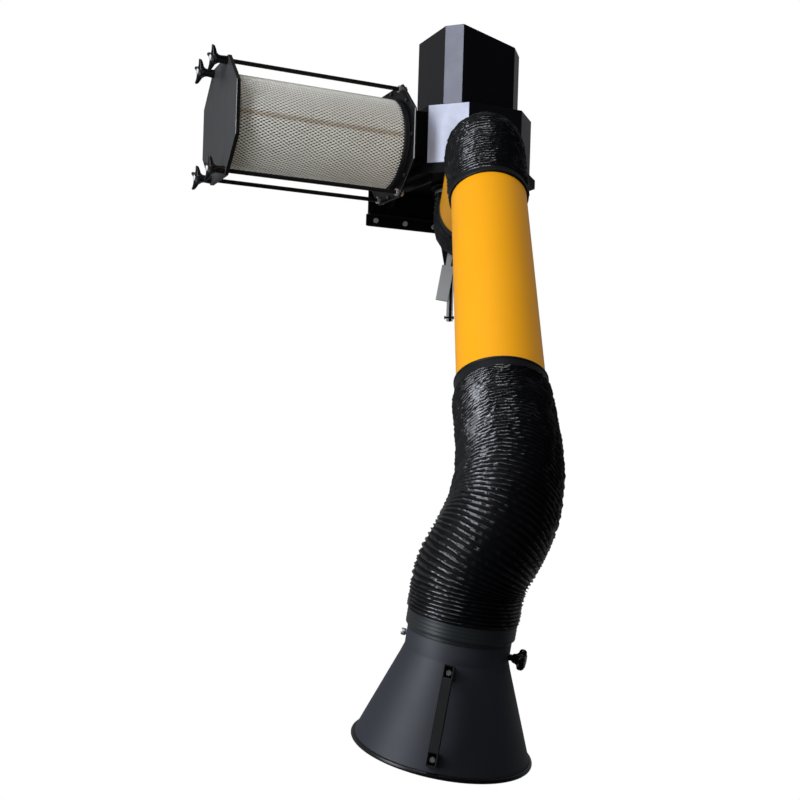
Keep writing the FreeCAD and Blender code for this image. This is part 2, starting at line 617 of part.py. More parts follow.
# swivel collar: a flanged tube that hangs in the tray, and the ring and plate below it
collar_low = s.tray_sheet + s.rest_gap - s.tray_bottom
spigot_low = -s.tray_bottom - s.spigot_drop
bore_radius = s.tube_radius - s.tube_wall
node(turned("swivel_collar", [
    (bore_radius, spigot_low), (s.tube_radius, spigot_low), (s.tube_radius, collar_low),
    (s.collar_flange_radius, collar_low), (s.collar_flange_radius, collar_low + s.collar_flange),
    (bore_radius, collar_low + s.collar_flange)], swivel))
ring_top = -s.tray_bottom - s.ring_drop
ring_low = ring_top - s.ring_thick
ring_disc = rod("ring_disc", swivel * at(0, 0, ring_low), s.ring_radius, s.ring_thick)
ring_tab = block("ring_tab", swivel, (-s.hanger_back, -s.hanger_half, ring_low),
                 (0, s.hanger_half, ring_top))
ring_bore = rod("ring_bore", swivel * at(0, 0, ring_low - s.overrun), s.tube_radius,
                s.ring_thick + 2 * s.overrun)
hanger_low = ring_top - s.hanger_height
hanger_sheet = plate("hanger_sheet", "YZ_Plane", [
    (-s.hanger_half, ring_top), (-s.hanger_foot_half, hanger_low), (s.hanger_foot_half, hanger_low),
    (s.hanger_half, ring_top)], s.hanger_thick, swivel * at(-s.hanger_back - s.hanger_thick))
node(fuse("swivel_hanger", cut("ring_plate", fuse("ring_solid", ring_disc, ring_tab), ring_bore),
          hanger_sheet))


def spider(name, place, start, bore):
    """A flat bar across the bore of a tube whose axis is the place's own X."""
    bar = block(name + "_bar", place, (start, -bore, -s.spider_half),
                (start + s.spider_thick, bore, s.spider_half))
    return common(name, bar, rod(name + "_round", place * along_x(start), bore, s.spider_thick))


def cheeks(name, place, inner, thick, start, end, lug, half):
    """Two flat links side by side, from start to an eye at end, on the place's own X."""
    parts = []
    for i, side in enumerate((-inner - thick, inner)):
        low = (start, side, -half) if float(start) < float(end) else (end, side, -half)
        high = (end, side + thick, half) if float(start) < float(end) else (start, side + thick, half)
        parts.append(block("%s_link_%d" % (name, i), place, low, high))
        parts.append(rod("%s_eye_%d" % (name, i), place * along_y(end, side, 0), lug, thick))
    return parts


def pin(name, place, half, radius, head_radius, head):
    """A headed pin along the place's own Y."""
    return fuse(name, rod(name + "_shank", place * along_y(0, -half), radius, 2 * half),
                rod(name + "_head", place * along_y(0, -half - head), head_radius, head),
                rod(name + "_cap", place * along_y(0, half), head_radius, head))


def fork(name, place, start, end, tube_bore):
    """A bar across a tube with two links to a pivot, drilled tight for the pin."""
    parts = cheeks(name, place, s.fork_half, s.fork_thick, start, end, s.lug_radius, s.spider_half)
    parts.append(spider(name + "_spider", place, start, tube_bore))
    half = s.fork_half + s.fork_thick + s.overrun
    drill = rod(name + "_drill", place * along_y(end, -half), s.pin_radius, 2 * half)
    return cut(name, fuse(name + "_solid", *parts), drill)


def tang(name, place, start, tube_bore):
    """The inner links that turn on the pin at the place's origin, with the bush between them."""
    inner = s.fork_half - s.rest_gap - s.tang_thick
    parts = cheeks(name, place, inner, s.tang_thick, start, 0, s.lug_radius, s.spider_half)
    parts.append(spider(name + "_spider", place, start, tube_bore))
    parts.append(rod(name + "_bush", place * along_y(0, -inner), s.bush_radius, 2 * inner))
    half = inner + s.tang_thick + s.overrun
    drill = rod(name + "_drill", place * along_y(0, -half), s.pin_radius + s.run_fit, 2 * half)
    return cut(name, fuse(name + "_solid", *parts), drill)


pin_half = s.fork_half + s.fork_thick
down = swivel * at(0, 0, 0, Y_AXIS, 90)
node(fork("shoulder_fork", down, -spigot_low - s.spider_thick, s.pivot_drop, bore_radius))
node(pin("shoulder_pin", shoulder, pin_half, s.pin_radius, s.pin_head_radius, s.pin_head))

# spring stay that hangs from a pin in front of the hanger plate
stay = swivel * at(-s.hanger_back, -s.stay_side, ring_top - s.stay_drop)
links = []
link_one = s.rest_gap
link_two = link_one + s.link_thick + s.link_space
for i, u in enumerate((link_one, link_two)):
    bar = block("link_bar_%d" % i, stay, (u, -s.link_width / 2, -s.link_length),
                (u + s.link_thick, s.link_width / 2, s.link_width / 2))
    for j, z in enumerate((0, -s.link_length + s.cross_pin_rise)):
        fit = (s.stay_pin_radius + s.run_fit, s.stay_pin_radius)[j]
        bar = cut("link_hole_%d_%d" % (i, j), bar,
                  rod("link_drill_%d_%d" % (i, j), stay * along_x(u - s.overrun, 0, z), fit,
                      s.link_thick + 2 * s.overrun))
    links.append(bar)
stay_width = link_two + s.link_thick
links.append(rod("cross_pin", stay * along_x(link_one, 0, s.cross_pin_rise - s.link_length),
                 s.stay_pin_radius, stay_width - link_one))
node(group("stay_links", *links))
node(fuse("stay_pin", rod("stay_pin_shank", stay * along_x(), s.stay_pin_radius, stay_width + s.rest_gap),
          rod("stay_pin_head", stay * along_x(stay_width + s.rest_gap), 2 * s.stay_pin_radius, s.pin_head)))
sleeve_back = link_one + s.link_thick + (s.link_space - s.sleeve_depth) / 2
leaning = stay * at(sleeve_back, 0, 0, X_AXIS, -s.sleeve_angle)
sleeve_body = plate("sleeve_outline", "YZ_Plane", [
    (-s.neck_width / 2, s.neck_width / 2), (-s.neck_width / 2, -s.neck_length),
    (-s.sleeve_width / 2, -s.neck_length), (-s.sleeve_width / 2, -s.neck_length - s.sleeve_length),
    (s.sleeve_width / 2, -s.neck_length - s.sleeve_length), (s.sleeve_width / 2, -s.neck_length),
    (s.neck_width / 2, -s.neck_length), (s.neck_width / 2, s.neck_width / 2)], s.sleeve_depth,
    leaning, [(0, 0, s.stay_pin_radius + s.run_fit)])
node(sleeve_body)
sleeve_body.Label = "stay_sleeve"

# upper tube with its links at both ends
upper_end = s.upper_length - s.upper_back
node(tube("upper_tube", upper * along_x(s.upper_start), s.tube_radius, s.tube_wall,
          upper_end - s.upper_start))
node(tang("shoulder_tang", upper, s.upper_start + s.tang_inset, bore_radius))
node(fork("elbow_fork", upper, upper_end - s.tang_inset - s.spider_thick, s.upper_length, bore_radius))
node(pin("elbow_pin", elbow, pin_half, s.pin_radius, s.pin_head_radius, s.pin_head))

# lower tube, with the links of the elbow and the stay of the head
lower_end = s.head_pivot_reach - s.lower_back
node(tube("lower_tube", lower * along_x(s.lower_start), s.tube_radius, s.tube_wall,
          lower_end - s.lower_start))
node(tang("elbow_tang", lower, s.lower_start + s.tang_inset, bore_radius))
stay_start = lower_end - s.tang_inset - s.spider_thick
stay_slope = math.degrees(math.atan2(float(s.head_pivot_rise), float(s.head_pivot_reach - stay_start)))
yoke = head_pivot * at(0, 0, 0, Y_AXIS, -stay_slope)
stay_length = math.hypot(float(s.head_pivot_rise), float(s.head_pivot_reach - stay_start))
reach_share = stay_length / float(s.head_pivot_reach - stay_start)
yoke_wide = s.yoke_half + s.yoke_thick
yoke_parts = cheeks("yoke", yoke, s.yoke_half, s.yoke_thick, -s.yoke_reach, 0, s.yoke_radius,
                    s.yoke_radius)
yoke_parts.append(block("yoke_bridge", yoke, (-s.yoke_reach, -yoke_wide, -s.yoke_radius),
                        (s.spider_thick - s.yoke_reach, yoke_wide, s.yoke_radius)))
yoke_parts.append(rod("yoke_rod", yoke * along_x((stay_start - s.head_pivot_reach) * reach_share),
                      s.stay_rod_radius, (s.head_pivot_reach - stay_start) * reach_share - s.yoke_reach
                      + s.spider_thick / 2))
yoke_parts.append(spider("yoke_spider", lower, stay_start, bore_radius))
yoke_drill = rod("yoke_drill", yoke * along_y(0, -yoke_wide - s.overrun), s.head_pin_radius,
                 2 * yoke_wide + 2 * s.overrun)
node(cut("head_stay", fuse("yoke_solid", *yoke_parts), yoke_drill))
node(pin("head_pin", head_pivot, yoke_wide, s.head_pin_radius, s.pin_head_radius, s.pin_head))

# head: a rod from the pivot to a bar across the head tube, on which the hood turns
seam = s.hood_collar / 2
tube_start = seam + s.turn_gap
tube_end = seam + s.head_tube
lip_outer = bore_radius - s.rest_gap
lip_inner = lip_outer - s.tube_wall
bead = s.tube_radius + s.bead_rise
bead_low = seam + s.bead_one
bead_high = seam + s.bead_two
node(turned("head_collar", [
    (lip_inner, seam - s.spigot_lip), (lip_outer, seam - s.spigot_lip), (lip_outer, tube_start),
    (s.tube_radius, tube_start), (s.tube_radius, bead_low), (bead, bead_low + s.bead_width / 2),
    (s.tube_radius, bead_low + s.bead_width), (s.tube_radius, bead_high),
    (bead, bead_high + s.bead_width / 2), (s.tube_radius, bead_high + s.bead_width),
    (s.tube_radius, tube_end), (bore_radius, tube_end),
    (bore_radius, tube_start + s.tube_wall), (lip_inner, tube_start + s.tube_wall)], hood))
upright = hood * at(0, 0, 0, Y_AXIS, -90)
head_bar = spider("head_spider", upright, tube_end - s.spider_thick, bore_radius)
eye_down = math.degrees(math.atan2(float(s.head_drop), float(s.head_forward)))
eye = level_head * at(0, 0, 0, Y_AXIS, eye_down)
eye_half = s.yoke_half - s.rest_gap
eye_ring = rod("head_eye", eye * along_y(0, -eye_half), s.yoke_radius, 2 * eye_half)
eye_block = block("head_neck", eye, (0, -eye_half, -eye_half), (s.eye_reach, eye_half, eye_half))
rod_from = (eye * at(s.eye_reach - eye_half)).Base
rod_to = (hood * at(0, 0, tube_end - s.spider_thick / 2)).Base
rod_turn = FreeCAD.Rotation(Z_AXIS, rod_to - rod_from)
head_bar_rod = doc.addObject("Part::Cylinder", "head_long_rod")
head_bar_rod.setExpression("Radius", word(s.head_rod_radius))
head_bar_rod.Height = (rod_to - rod_from).Length
head_bar_rod.Placement = FreeCAD.Placement(rod_from, rod_turn)
head_drill = rod("head_drill", eye * along_y(0, -eye_half - s.overrun), s.head_pin_radius + s.run_fit,
                 2 * eye_half + 2 * s.overrun)
node(cut("head_rod", fuse("head_rod_solid", head_bar, eye_ring, eye_block, head_bar_rod), head_drill))

# hood: a spun cone with its collar, and the edge trim round its rim
hood_low = -seam - s.hood_height
slope = (s.hood_radius - s.tube_radius) / s.hood_height
spun_cone = turned("spun_cone", [
    (bore_radius, seam), (bore_radius, -seam), (s.hood_radius - s.hood_sheet, hood_low),
    (s.hood_radius, hood_low), (s.tube_radius, -seam), (s.tube_radius, seam)], hood)
across = hood * at(0, 0, -s.damper_lower, Z_AXIS, s.damper_angle) * at(0, 0, 0, Y_AXIS, 90)
spindle_reach = s.tube_radius + s.knob_stand
node(cut("hood_cone", spun_cone, rod("spindle_holes", across * at(0, 0, -spindle_reach),
                                     s.spindle_radius + s.run_fit, 2 * spindle_reach)))
trim_top = hood_low + s.trim_rise
node(turned("rim_trim", [
    (s.hood_radius - s.hood_sheet, hood_low), (s.hood_radius - s.hood_sheet, hood_low - s.trim_out),
    (s.hood_radius + s.trim_out, hood_low - s.trim_out),
    (s.hood_radius + s.trim_out - slope * s.trim_rise, trim_top),
    (s.hood_radius - slope * s.trim_rise, trim_top), (s.hood_radius, hood_low)], hood))

# handle: a bridge along the front of the cone, held by two bolts
slope_angle = math.degrees(math.atan(float(slope)))
slope_cos = math.cos(math.radians(slope_angle))
on_cone = (hood * at(0, 0, 0, Z_AXIS, -s.handle_angle) * at(s.tube_radius, 0, -seam)
           * at(0, 0, 0, Y_AXIS, 180 - slope_angle))
# there the handle's Z runs down the cone and its -X points away from the surface
foot_low = s.handle_drop - s.handle_end
foot_high = s.handle_drop + s.handle_pitch + s.handle_end
handle_half = s.handle_width / 2
handle_out = s.handle_gap + s.handle_bar
grip = block("handle_grip", on_cone, (-handle_out, -handle_half, foot_low),
             (-s.handle_gap, handle_half, foot_high))
feet = [block("handle_foot_%d" % i, on_cone, (-handle_out, -handle_half, z - s.handle_end),
              (0, handle_half, z + s.handle_end))
        for i, z in enumerate((s.handle_drop, s.handle_drop + s.handle_pitch))]
cone_clear = primitive("Cone", "cone_clear", hood * at(0, 0, hood_low), Radius1=s.hood_radius,
                       Radius2=s.tube_radius, Height=s.hood_height)
screws = []
drills = []
pocket_floor = handle_out - s.handle_pocket
pocket_half = handle_half - s.handle_wall
pocket_end = s.handle_end - s.handle_wall
for i, z in enumerate((s.handle_drop, s.handle_drop + s.handle_pitch)):
    drills.append(rod("handle_drill_%d" % i, on_cone * at(-handle_out, 0, z, Y_AXIS, 90),
                      s.handle_bolt_radius, handle_out + s.overrun))
    drills.append(block("handle_pocket_%d" % i, on_cone,
                        (-handle_out - s.overrun, -pocket_half, z - pocket_end),
                        (-pocket_floor, pocket_half, z + pocket_end)))
    shank = rod("handle_shank_%d" % i, on_cone * at(-pocket_floor, 0, z, Y_AXIS, 90),
                s.handle_bolt_radius, pocket_floor - s.rest_gap)
    head = rod("handle_screw_head_%d" % i, on_cone * at(-pocket_floor - s.handle_head, 0, z, Y_AXIS, 90),
               s.handle_head_radius, s.handle_head)
    screws.append(fuse("handle_screw_%d" % i, shank, head))
node(cut("handle", fuse("handle_solid", grip, *feet), cone_clear, *drills))
node(group("handle_screws", *screws))

# damper: a disc below a spindle across the collar, with a star knob at its right end
node(fuse("damper_spindle",
          rod("spindle_shank", across * at(0, 0, -spindle_reach), s.spindle_radius,
              2 * spindle_reach + s.dial_thick),
          rod("spindle_nut", across * at(0, 0, -spindle_reach - s.spindle_head), s.spindle_head_radius,
              s.spindle_head)))
disc_low = -s.damper_lower - s.spindle_radius - s.damper_sheet
node(rod("damper_disc", hood * at(0, 0, disc_low), s.damper_radius, s.damper_sheet))
dial_place = across * at(0, 0, spindle_reach)
dial = [rod("dial_hub", dial_place, s.dial_hub_radius, s.dial_thick)]
for i in range(int(float(s.dial_arm_count))):
    turn = dial_place * at(0, 0, 0, Z_AXIS, 360 * i / float(s.dial_arm_count))
    dial.append(block("dial_arm_%d" % i, turn, (0, -s.dial_arm_radius, 0),
                      (s.dial_radius - s.dial_arm_radius, s.dial_arm_radius, s.dial_thick)))
    dial.append(rod("dial_tip_%d" % i, turn * at(s.dial_radius - s.dial_arm_radius), s.dial_arm_radius,
                    s.dial_thick))
dial_drill = rod("dial_drill", dial_place * at(0, 0, -s.overrun), s.spindle_radius,
                 s.dial_thick + 2 * s.overrun)
node(cut("damper_knob", fuse("dial_solid", *dial), dial_drill))


class Bend:
    """A flat route in a frame's X-Z plane: straight along -Z, an arc towards +X, straight again."""

    def __init__(self, place, before, radius, angle, after):
        self.place = place
        self.before = before
        self.radius = radius
        self.curved = radius * math.radians(angle)
        self.length = before + self.curved + after

    def station(self, distance):
        angle = min(max(distance - self.before, 0), self.curved) / self.radius
        start = min(distance, self.before)
        along = max(distance - self.before - self.curved, 0)
        x = self.radius * (1 - math.cos(angle)) + along * math.sin(angle)
        z = -start - self.radius * math.sin(angle) - along * math.cos(angle)
        heading = FreeCAD.Vector(math.sin(angle), 0, -math.cos(angle))
        return self.place.multVec(FreeCAD.Vector(x, 0, z)), self.place.Rotation.multVec(heading)


class Sweep:
    """A smooth curve led by six points, with a straight piece on the tube at each end."""

    def __init__(self, before, points, after):
        self.curve = Part.BezierCurve()
        self.curve.setPoles(points)
        self.start = points[0]
        self.start_way = (points[1] - points[0]).normalize()
        self.end = points[-1]
        self.end_way = (points[-1] - points[-2]).normalize()
        self.before = before
        self.curved = self.curve.length()
        self.length = before + self.curved + after

    def station(self, distance):
        inside = distance - self.before
        if inside <= 0:
            return self.start + self.start_way * inside, self.start_way
        if inside >= self.curved:
            return self.end + self.end_way * (inside - self.curved), self.end_way
        place = self.curve.parameterAtDistance(inside, self.curve.FirstParameter)
        return self.curve.value(place), self.curve.tangent(place)[0]


def ring_on(route, distance, radius):
    """A circle round a route, whose seam keeps to one side of the arm."""
    centre, heading = route.station(distance)
    steady = swivel.Rotation.multVec(Y_AXIS)
    across = steady - heading * steady.dot(heading)
    ring = Part.Circle(FreeCAD.Vector(0, 0, 0), Z_AXIS, float(radius)).toShape()
    turn = FreeCAD.Rotation(across, heading.cross(across), heading, "ZXY")
    ring.Placement = FreeCAD.Placement(centre, turn)
    return Part.Wire([ring])


def finish_hose(name, outside, inside):
    """The solid between two rows of circles."""
    hose = doc.addObject("Part::Feature", name)
    hose.Shape = Part.makeLoft(outside, True, True).cut(Part.makeLoft(inside, True, True))
    return node(hose)


def plain_hose(name, route):
    """A smooth hose with its bore: one circle at each pitch of its curved length."""
    steps = max(2, round(route.curved / float(s.hose_pitch)))
    stops = [0] + [route.before + route.curved * i / steps for i in range(steps + 1)] + [route.length]
    finish_hose(name, [ring_on(route, stop, s.hose_root) for stop in stops],
                [ring_on(route, stop, s.hose_bore) for stop in stops])


def ribbed_hose(name, route):
    """A hose with its bore: plain cuffs at the ends, and ribs of four circles each between them."""
    cuff = float(s.hose_cuff)
    ribs = max(1, round((route.length - 2 * cuff) / float(s.hose_pitch)))
    pitch = (route.length - 2 * cuff) / ribs
    share = float(s.hose_crest_share)
    outside = [ring_on(route, 0, s.hose_root), ring_on(route, cuff, s.hose_root)]
    inside = [ring_on(route, 0, s.hose_bore), ring_on(route, cuff, s.hose_bore)]
    for index in range(ribs):
        start = cuff + index * pitch
        outside.append(ring_on(route, start + share * pitch, s.hose_crest))
        outside.append(ring_on(route, start + (1 - share) * pitch, s.hose_crest))
        outside.append(ring_on(route, start + pitch, s.hose_root))
        if index % 2 or index == ribs - 1:
            inside.append(ring_on(route, start + pitch, s.hose_bore))
    outside.append(ring_on(route, route.length, s.hose_root))
    inside.append(ring_on(route, route.length, s.hose_bore))
    finish_hose(name, outside, inside)
    print(name, "ribs", ribs, "length", round(route.length, 1))


# hoses over the three pivots, each drawn over the tube ends beside it
base_turn = 90 + float(s.upper_angle)
base_tangent = float(s.base_bend) * math.tan(math.radians(base_turn / 2))
hose_top = -float(ring_low) + 2 * float(s.rest_gap)
base_route = Bend(swivel * at(0, 0, -hose_top), float(s.pivot_drop) - hose_top - base_tangent,
                  float(s.base_bend), base_turn,
                  float(s.upper_start + s.hose_cuff) - base_tangent)
plain_hose("base_hose", base_route)
elbow_turn = float(s.lower_angle + s.upper_angle)
elbow_tangent = float(s.elbow_bend) * math.tan(math.radians(elbow_turn / 2))
elbow_back = float(s.upper_length - upper_end + s.hose_cuff)
elbow_route = Bend(elbow * at(0, 0, 0, Y_AXIS, 90) * at(0, 0, 0, X_AXIS, 180) * at(0, 0, elbow_back),
                   elbow_back - elbow_tangent, float(s.elbow_bend), elbow_turn,
                   float(s.lower_start + s.hose_cuff) - elbow_tangent)
ribbed_hose("elbow_hose", elbow_route)
head_points = [(lower * at(lower_end)).Base, (lower * at(lower_end + s.hose_lead)).Base,
               (lower * at(lower_end + s.hose_along, s.hose_side, s.hose_rise)).Base,
               (hood * at(s.hose_forward, s.hose_over, tube_end + s.hose_up)).Base,
               (hood * at(0, 0, tube_end + s.hose_run)).Base, (hood * at(0, 0, tube_end)).Base]
head_route = Sweep(float(s.hose_cuff), head_points, float(s.head_cover))
plain_hose("head_hose", head_route)


def clamp(name, place):
    """A band round a hose cuff with its screw housing, along the place's own Z."""
    inner = s.hose_root + s.rest_gap
    outer = inner + s.clamp_sheet
    band = tube(name + "_band", place, outer, s.clamp_sheet, s.clamp_width)
    housing = block(name + "_box", place, (inner + s.clamp_sheet / 2, -s.clamp_box_length / 2, 0),
                    (outer + s.clamp_box_side, s.clamp_box_length / 2, s.clamp_width))
    return fuse(name, band, housing)


clamp_edge = s.clamp_inset + s.clamp_width
node(clamp("spigot_clamp", swivel * at(0, 0, ring_low - clamp_edge, Z_AXIS, -s.spigot_clamp_angle)))
node(group("upper_hose_clamps",
           clamp("upper_rear_clamp", upper * along_x(s.upper_start + s.clamp_inset)),
           clamp("upper_front_clamp", upper * along_x(upper_end - clamp_edge))))
node(group("lower_hose_clamps",
           clamp("lower_rear_clamp", lower * along_x(s.lower_start + s.clamp_inset)),
           clamp("lower_front_clamp", lower * along_x(lower_end - clamp_edge))))

# check everything, then write one file for each sub-part
doc.recompute()
faults = ["%s is %s" % (item.Name, item.State) for item in doc.Objects
          if "Invalid" in item.State or "Error" in item.State]
labels = [item.Label for item in NODES]
if len(set(labels)) != len(labels):
    faults.append("two sub-parts share a label")
for item in NODES:
    if item.Shape.isNull() or not item.Shape.isValid() or item.Shape.Volume <= 0:
        faults.append("%s has no valid shape" % item.Label)
if faults:
    raise RuntimeError("; ".join(faults))
os.makedirs("parts", exist_ok=True)
for item in NODES:
    item.Shape.exportStep(os.path.join("parts", item.Label + ".step"))
print(len(NODES), "sub-parts written")
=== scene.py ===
import json
import math
import bmesh
import bpy
from mathutils import Matrix, Vector, noise


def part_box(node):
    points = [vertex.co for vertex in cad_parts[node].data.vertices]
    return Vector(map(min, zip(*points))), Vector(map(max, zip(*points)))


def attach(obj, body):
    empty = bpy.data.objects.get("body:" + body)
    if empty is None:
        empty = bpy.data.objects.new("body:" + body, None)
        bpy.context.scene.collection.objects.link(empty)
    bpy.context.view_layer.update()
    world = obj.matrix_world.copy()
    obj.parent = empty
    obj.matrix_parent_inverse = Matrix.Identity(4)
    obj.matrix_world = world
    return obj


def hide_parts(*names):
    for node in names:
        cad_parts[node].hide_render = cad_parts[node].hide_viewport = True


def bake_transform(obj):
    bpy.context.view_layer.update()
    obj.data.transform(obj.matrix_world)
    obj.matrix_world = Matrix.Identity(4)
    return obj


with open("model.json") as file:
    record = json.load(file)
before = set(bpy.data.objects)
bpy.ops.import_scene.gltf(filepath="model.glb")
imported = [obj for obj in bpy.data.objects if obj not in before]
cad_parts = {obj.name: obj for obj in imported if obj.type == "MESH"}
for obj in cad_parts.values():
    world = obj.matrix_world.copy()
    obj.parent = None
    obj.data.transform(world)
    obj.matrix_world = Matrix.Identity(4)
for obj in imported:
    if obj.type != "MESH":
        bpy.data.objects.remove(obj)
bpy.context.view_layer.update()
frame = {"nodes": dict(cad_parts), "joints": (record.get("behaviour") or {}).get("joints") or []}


# The view: a hand-held camera left of the arm and a little below the fan, held almost level.
# Its place, turn and roll were fitted to the photograph.
EYE = (-1.5301, -3.0132, -0.7807)
EYE_TURN = 23.438
EYE_ROLL = 1.739
camera = bpy.data.objects.new("camera", bpy.data.cameras.new("camera"))
camera.data.sensor_width = 36.0
camera.data.lens = 49.5
camera.data.shift_x = 0.0514
camera.data.shift_y = 0.0403
camera.matrix_world = (Matrix.Translation(EYE)
                       @ Matrix.Rotation(math.radians(-EYE_TURN), 4, "Z")
                       @ Matrix.Rotation(math.radians(90), 4, "X")
                       @ Matrix.Rotation(math.radians(EYE_ROLL), 4, "Z"))
bpy.context.scene.collection.objects.link(camera)
bpy.context.scene.camera = camera
bpy.context.scene.view_settings.view_transform = "Standard"


# The studio: a white surround behind the arm, which gloss sees as a room that is pale on the wall's
# side and dim behind the camera, with soft boxes high on the left, above, and low on the left.
def link(tree, *pairs):
    """Joins sockets of a node tree, given as (node, output, node, input)."""
    for source, output, target, entry in pairs:
        tree.links.new(source.outputs[output], target.inputs[entry])


def reckon(tree, operation, second=None):
    """A node that works on two numbers, the second one set where it is given."""
    step = tree.nodes.new("ShaderNodeMath")
    step.operation = operation
    if second is not None:
        step.inputs[1].default_value = second
    return step


def spread(tree, low, high, from_low=0.0, from_high=1.0):
    """A node that stretches one range of numbers over another."""
    step = tree.nodes.new("ShaderNodeMapRange")
    step.inputs["From Min"].default_value = from_low
    step.inputs["From Max"].default_value = from_high
    step.inputs["To Min"].default_value = low
    step.inputs["To Max"].default_value = high
    return step


def glow(tree, colour, strength=1.0):
    """A part of the surround, of one colour and strength."""
    light = tree.nodes.new("ShaderNodeBackground")
    light.inputs["Color"].default_value = (*colour, 1.0)
    light.inputs["Strength"].default_value = strength
    return light


world = bpy.data.worlds.new("studio")
bpy.context.scene.world = world
world.use_nodes = True
room = world.node_tree
room.nodes.clear()
rays = room.nodes.new("ShaderNodeLightPath")
way = room.nodes.new("ShaderNodeTexCoord")
split = room.nodes.new("ShaderNodeSeparateXYZ")
depth = spread(room, 0.0, 0.22, -0.55, 0.75)
depth.interpolation_type = "SMOOTHSTEP"
seen = reckon(room, "MAXIMUM")
fill = glow(room, (0.95, 0.97, 1.0), 0.30)
mirrored = glow(room, (0.96, 0.97, 1.0))
backdrop = glow(room, (1.0, 1.0, 1.0))
first_mix = room.nodes.new("ShaderNodeMixShader")
second_mix = room.nodes.new("ShaderNodeMixShader")
out = room.nodes.new("ShaderNodeOutputWorld")
link(room, (way, "Generated", split, "Vector"), (split, "Y", depth, "Value"),
     (depth, "Result", mirrored, "Strength"), (rays, "Is Glossy Ray", seen, 0),
     (rays, "Is Transmission Ray", seen, 1), (seen, "Value", first_mix, "Fac"),
     (fill, 0, first_mix, 1), (mirrored, 0, first_mix, 2), (rays, "Is Camera Ray", second_mix, "Fac"),
     (first_mix, 0, second_mix, 1), (backdrop, 0, second_mix, 2), (second_mix, "Shader", out, "Surface"))


def soft_box(name, place, target, width, height, watts, colour=(1.0, 1.0, 1.0)):
    """A flat lamp that faces a point of the object."""
    lamp = bpy.data.lights.new(name, "AREA")
    lamp.shape = "RECTANGLE"
    lamp.size = width
    lamp.size_y = height
    lamp.energy = watts
    lamp.color = colour
    holder = bpy.data.objects.new(name, lamp)
    towards = Vector(target) - Vector(place)
    turn = towards.to_track_quat("-Z", "Y").to_matrix().to_4x4()
    holder.matrix_world = Matrix.Translation(place) @ turn
    holder.visible_camera = False
    bpy.context.scene.collection.objects.link(holder)


soft_box("window_left", (-2.3, -1.45, 0.8), (0.0, -0.2, 0.1), 0.45, 2.0, 27.0, (0.86, 0.9, 1.0))
soft_box("top_front", (-1.5, -2.5, 2.2), (-0.4, -0.9, -0.4), 0.9, 1.2, 16.0)
soft_box("low_left", (-2.7, -1.7, -0.7), (-0.75, -1.55, -1.1), 0.95, 2.2, 28.0, (0.88, 0.93, 1.0))


# Wall plate, angle, support arms and tray: folded and welded sheet steel, painted in a hard
# black gloss that shows faint waves and a little dust, with the cut edges slightly rounded.
BLACK_GLOSS = (0.0022, 0.0022, 0.0030, 1.0)
COLOUR_A = 6
COLOUR_B = 7
COLOUR_OUT = 2


def blend_colours(tree, one=None, two=None):
    """A node that mixes two colours; one that is left out comes in by a link."""
    mix = tree.nodes.new("ShaderNodeMix")
    mix.data_type = "RGBA"
    for entry, colour in ((COLOUR_A, one), (COLOUR_B, two)):
        if colour is not None:
            mix.inputs[entry].default_value = colour
    return mix


def clouded(name, scale, detail, dark, pale, smooth, dull):
    """A finish whose colour and gloss drift in clouds between two values."""
    finish = bpy.data.materials.new(name)
    finish.use_nodes = True
    tree = finish.node_tree
    shader = tree.nodes["Principled BSDF"]
    where = tree.nodes.new("ShaderNodeTexCoord")
    cloud = tree.nodes.new("ShaderNodeTexNoise")
    cloud.inputs["Scale"].default_value = scale
    cloud.inputs["Detail"].default_value = detail
    tone = blend_colours(tree, dark + [1.0], pale + [1.0])
    gloss = spread(tree, smooth, dull)
    link(tree, (where, "Object", cloud, "Vector"), (cloud, "Fac", tone, 0), (cloud, "Fac", gloss, "Value"),
         (gloss, "Result", shader, "Roughness"), (tone, COLOUR_OUT, shader, "Base Color"))
    return finish


def paint(name, colour, rough, sheen=0.35, peel=0.08, peel_scale=900.0, dust=0.0, drift=0.12):
    """A sprayed finish: one colour that drifts a little, orange peel, and uneven gloss."""
    dark = [channel * (1.0 - drift) for channel in colour[:3]]
    pale = [min(1.0, channel * (1.0 + drift) + dust) for channel in colour[:3]]
    finish = clouded(name, 9.0, 5.0, dark, pale, rough * 0.8, min(1.0, rough * 1.3))
    tree = finish.node_tree
    shader = tree.nodes["Principled BSDF"]
    shader.inputs["Specular IOR Level"].default_value = sheen
    where = tree.nodes.new("ShaderNodeTexCoord")
    skin = tree.nodes.new("ShaderNodeTexNoise")
    skin.inputs["Scale"].default_value = peel_scale
    bump = tree.nodes.new("ShaderNodeBump")
    bump.inputs["Strength"].default_value = peel
    bump.inputs["Distance"].default_value = 0.0006
    link(tree, (where, "Object", skin, "Vector"), (skin, "Fac", bump, "Height"),
         (bump, "Normal", shader, "Normal"))
    return finish


def dress(node, finish, edge=0.0):
    """Gives a CAD node its finish, and rounds its sharp edges by that many metres."""
    obj = frame["nodes"][node]
    obj.data.materials.clear()
    obj.data.materials.append(finish)
    if edge:
        obj.modifiers.new("joined_faces", "WELD").merge_threshold = 1e-5
        rounding = obj.modifiers.new("rounded_edges", "BEVEL")
        rounding.width = edge
        rounding.segments = 2
        rounding.limit_method = "ANGLE"
        rounding.angle_limit = math.radians(35)
        rounding.harden_normals = True


black_gloss = paint("black_gloss", BLACK_GLOSS, 0.32, sheen=0.35, dust=0.0008)
for node in ("wall_plate", "plate_rail", "support_arms"):
    dress(node, black_gloss, 0.0008)
tray_black = paint("tray_black", BLACK_GLOSS, 0.55, sheen=0.12)
for node in ("base_tray", "base_lip"):
    dress(node, tray_black, 0.0012)


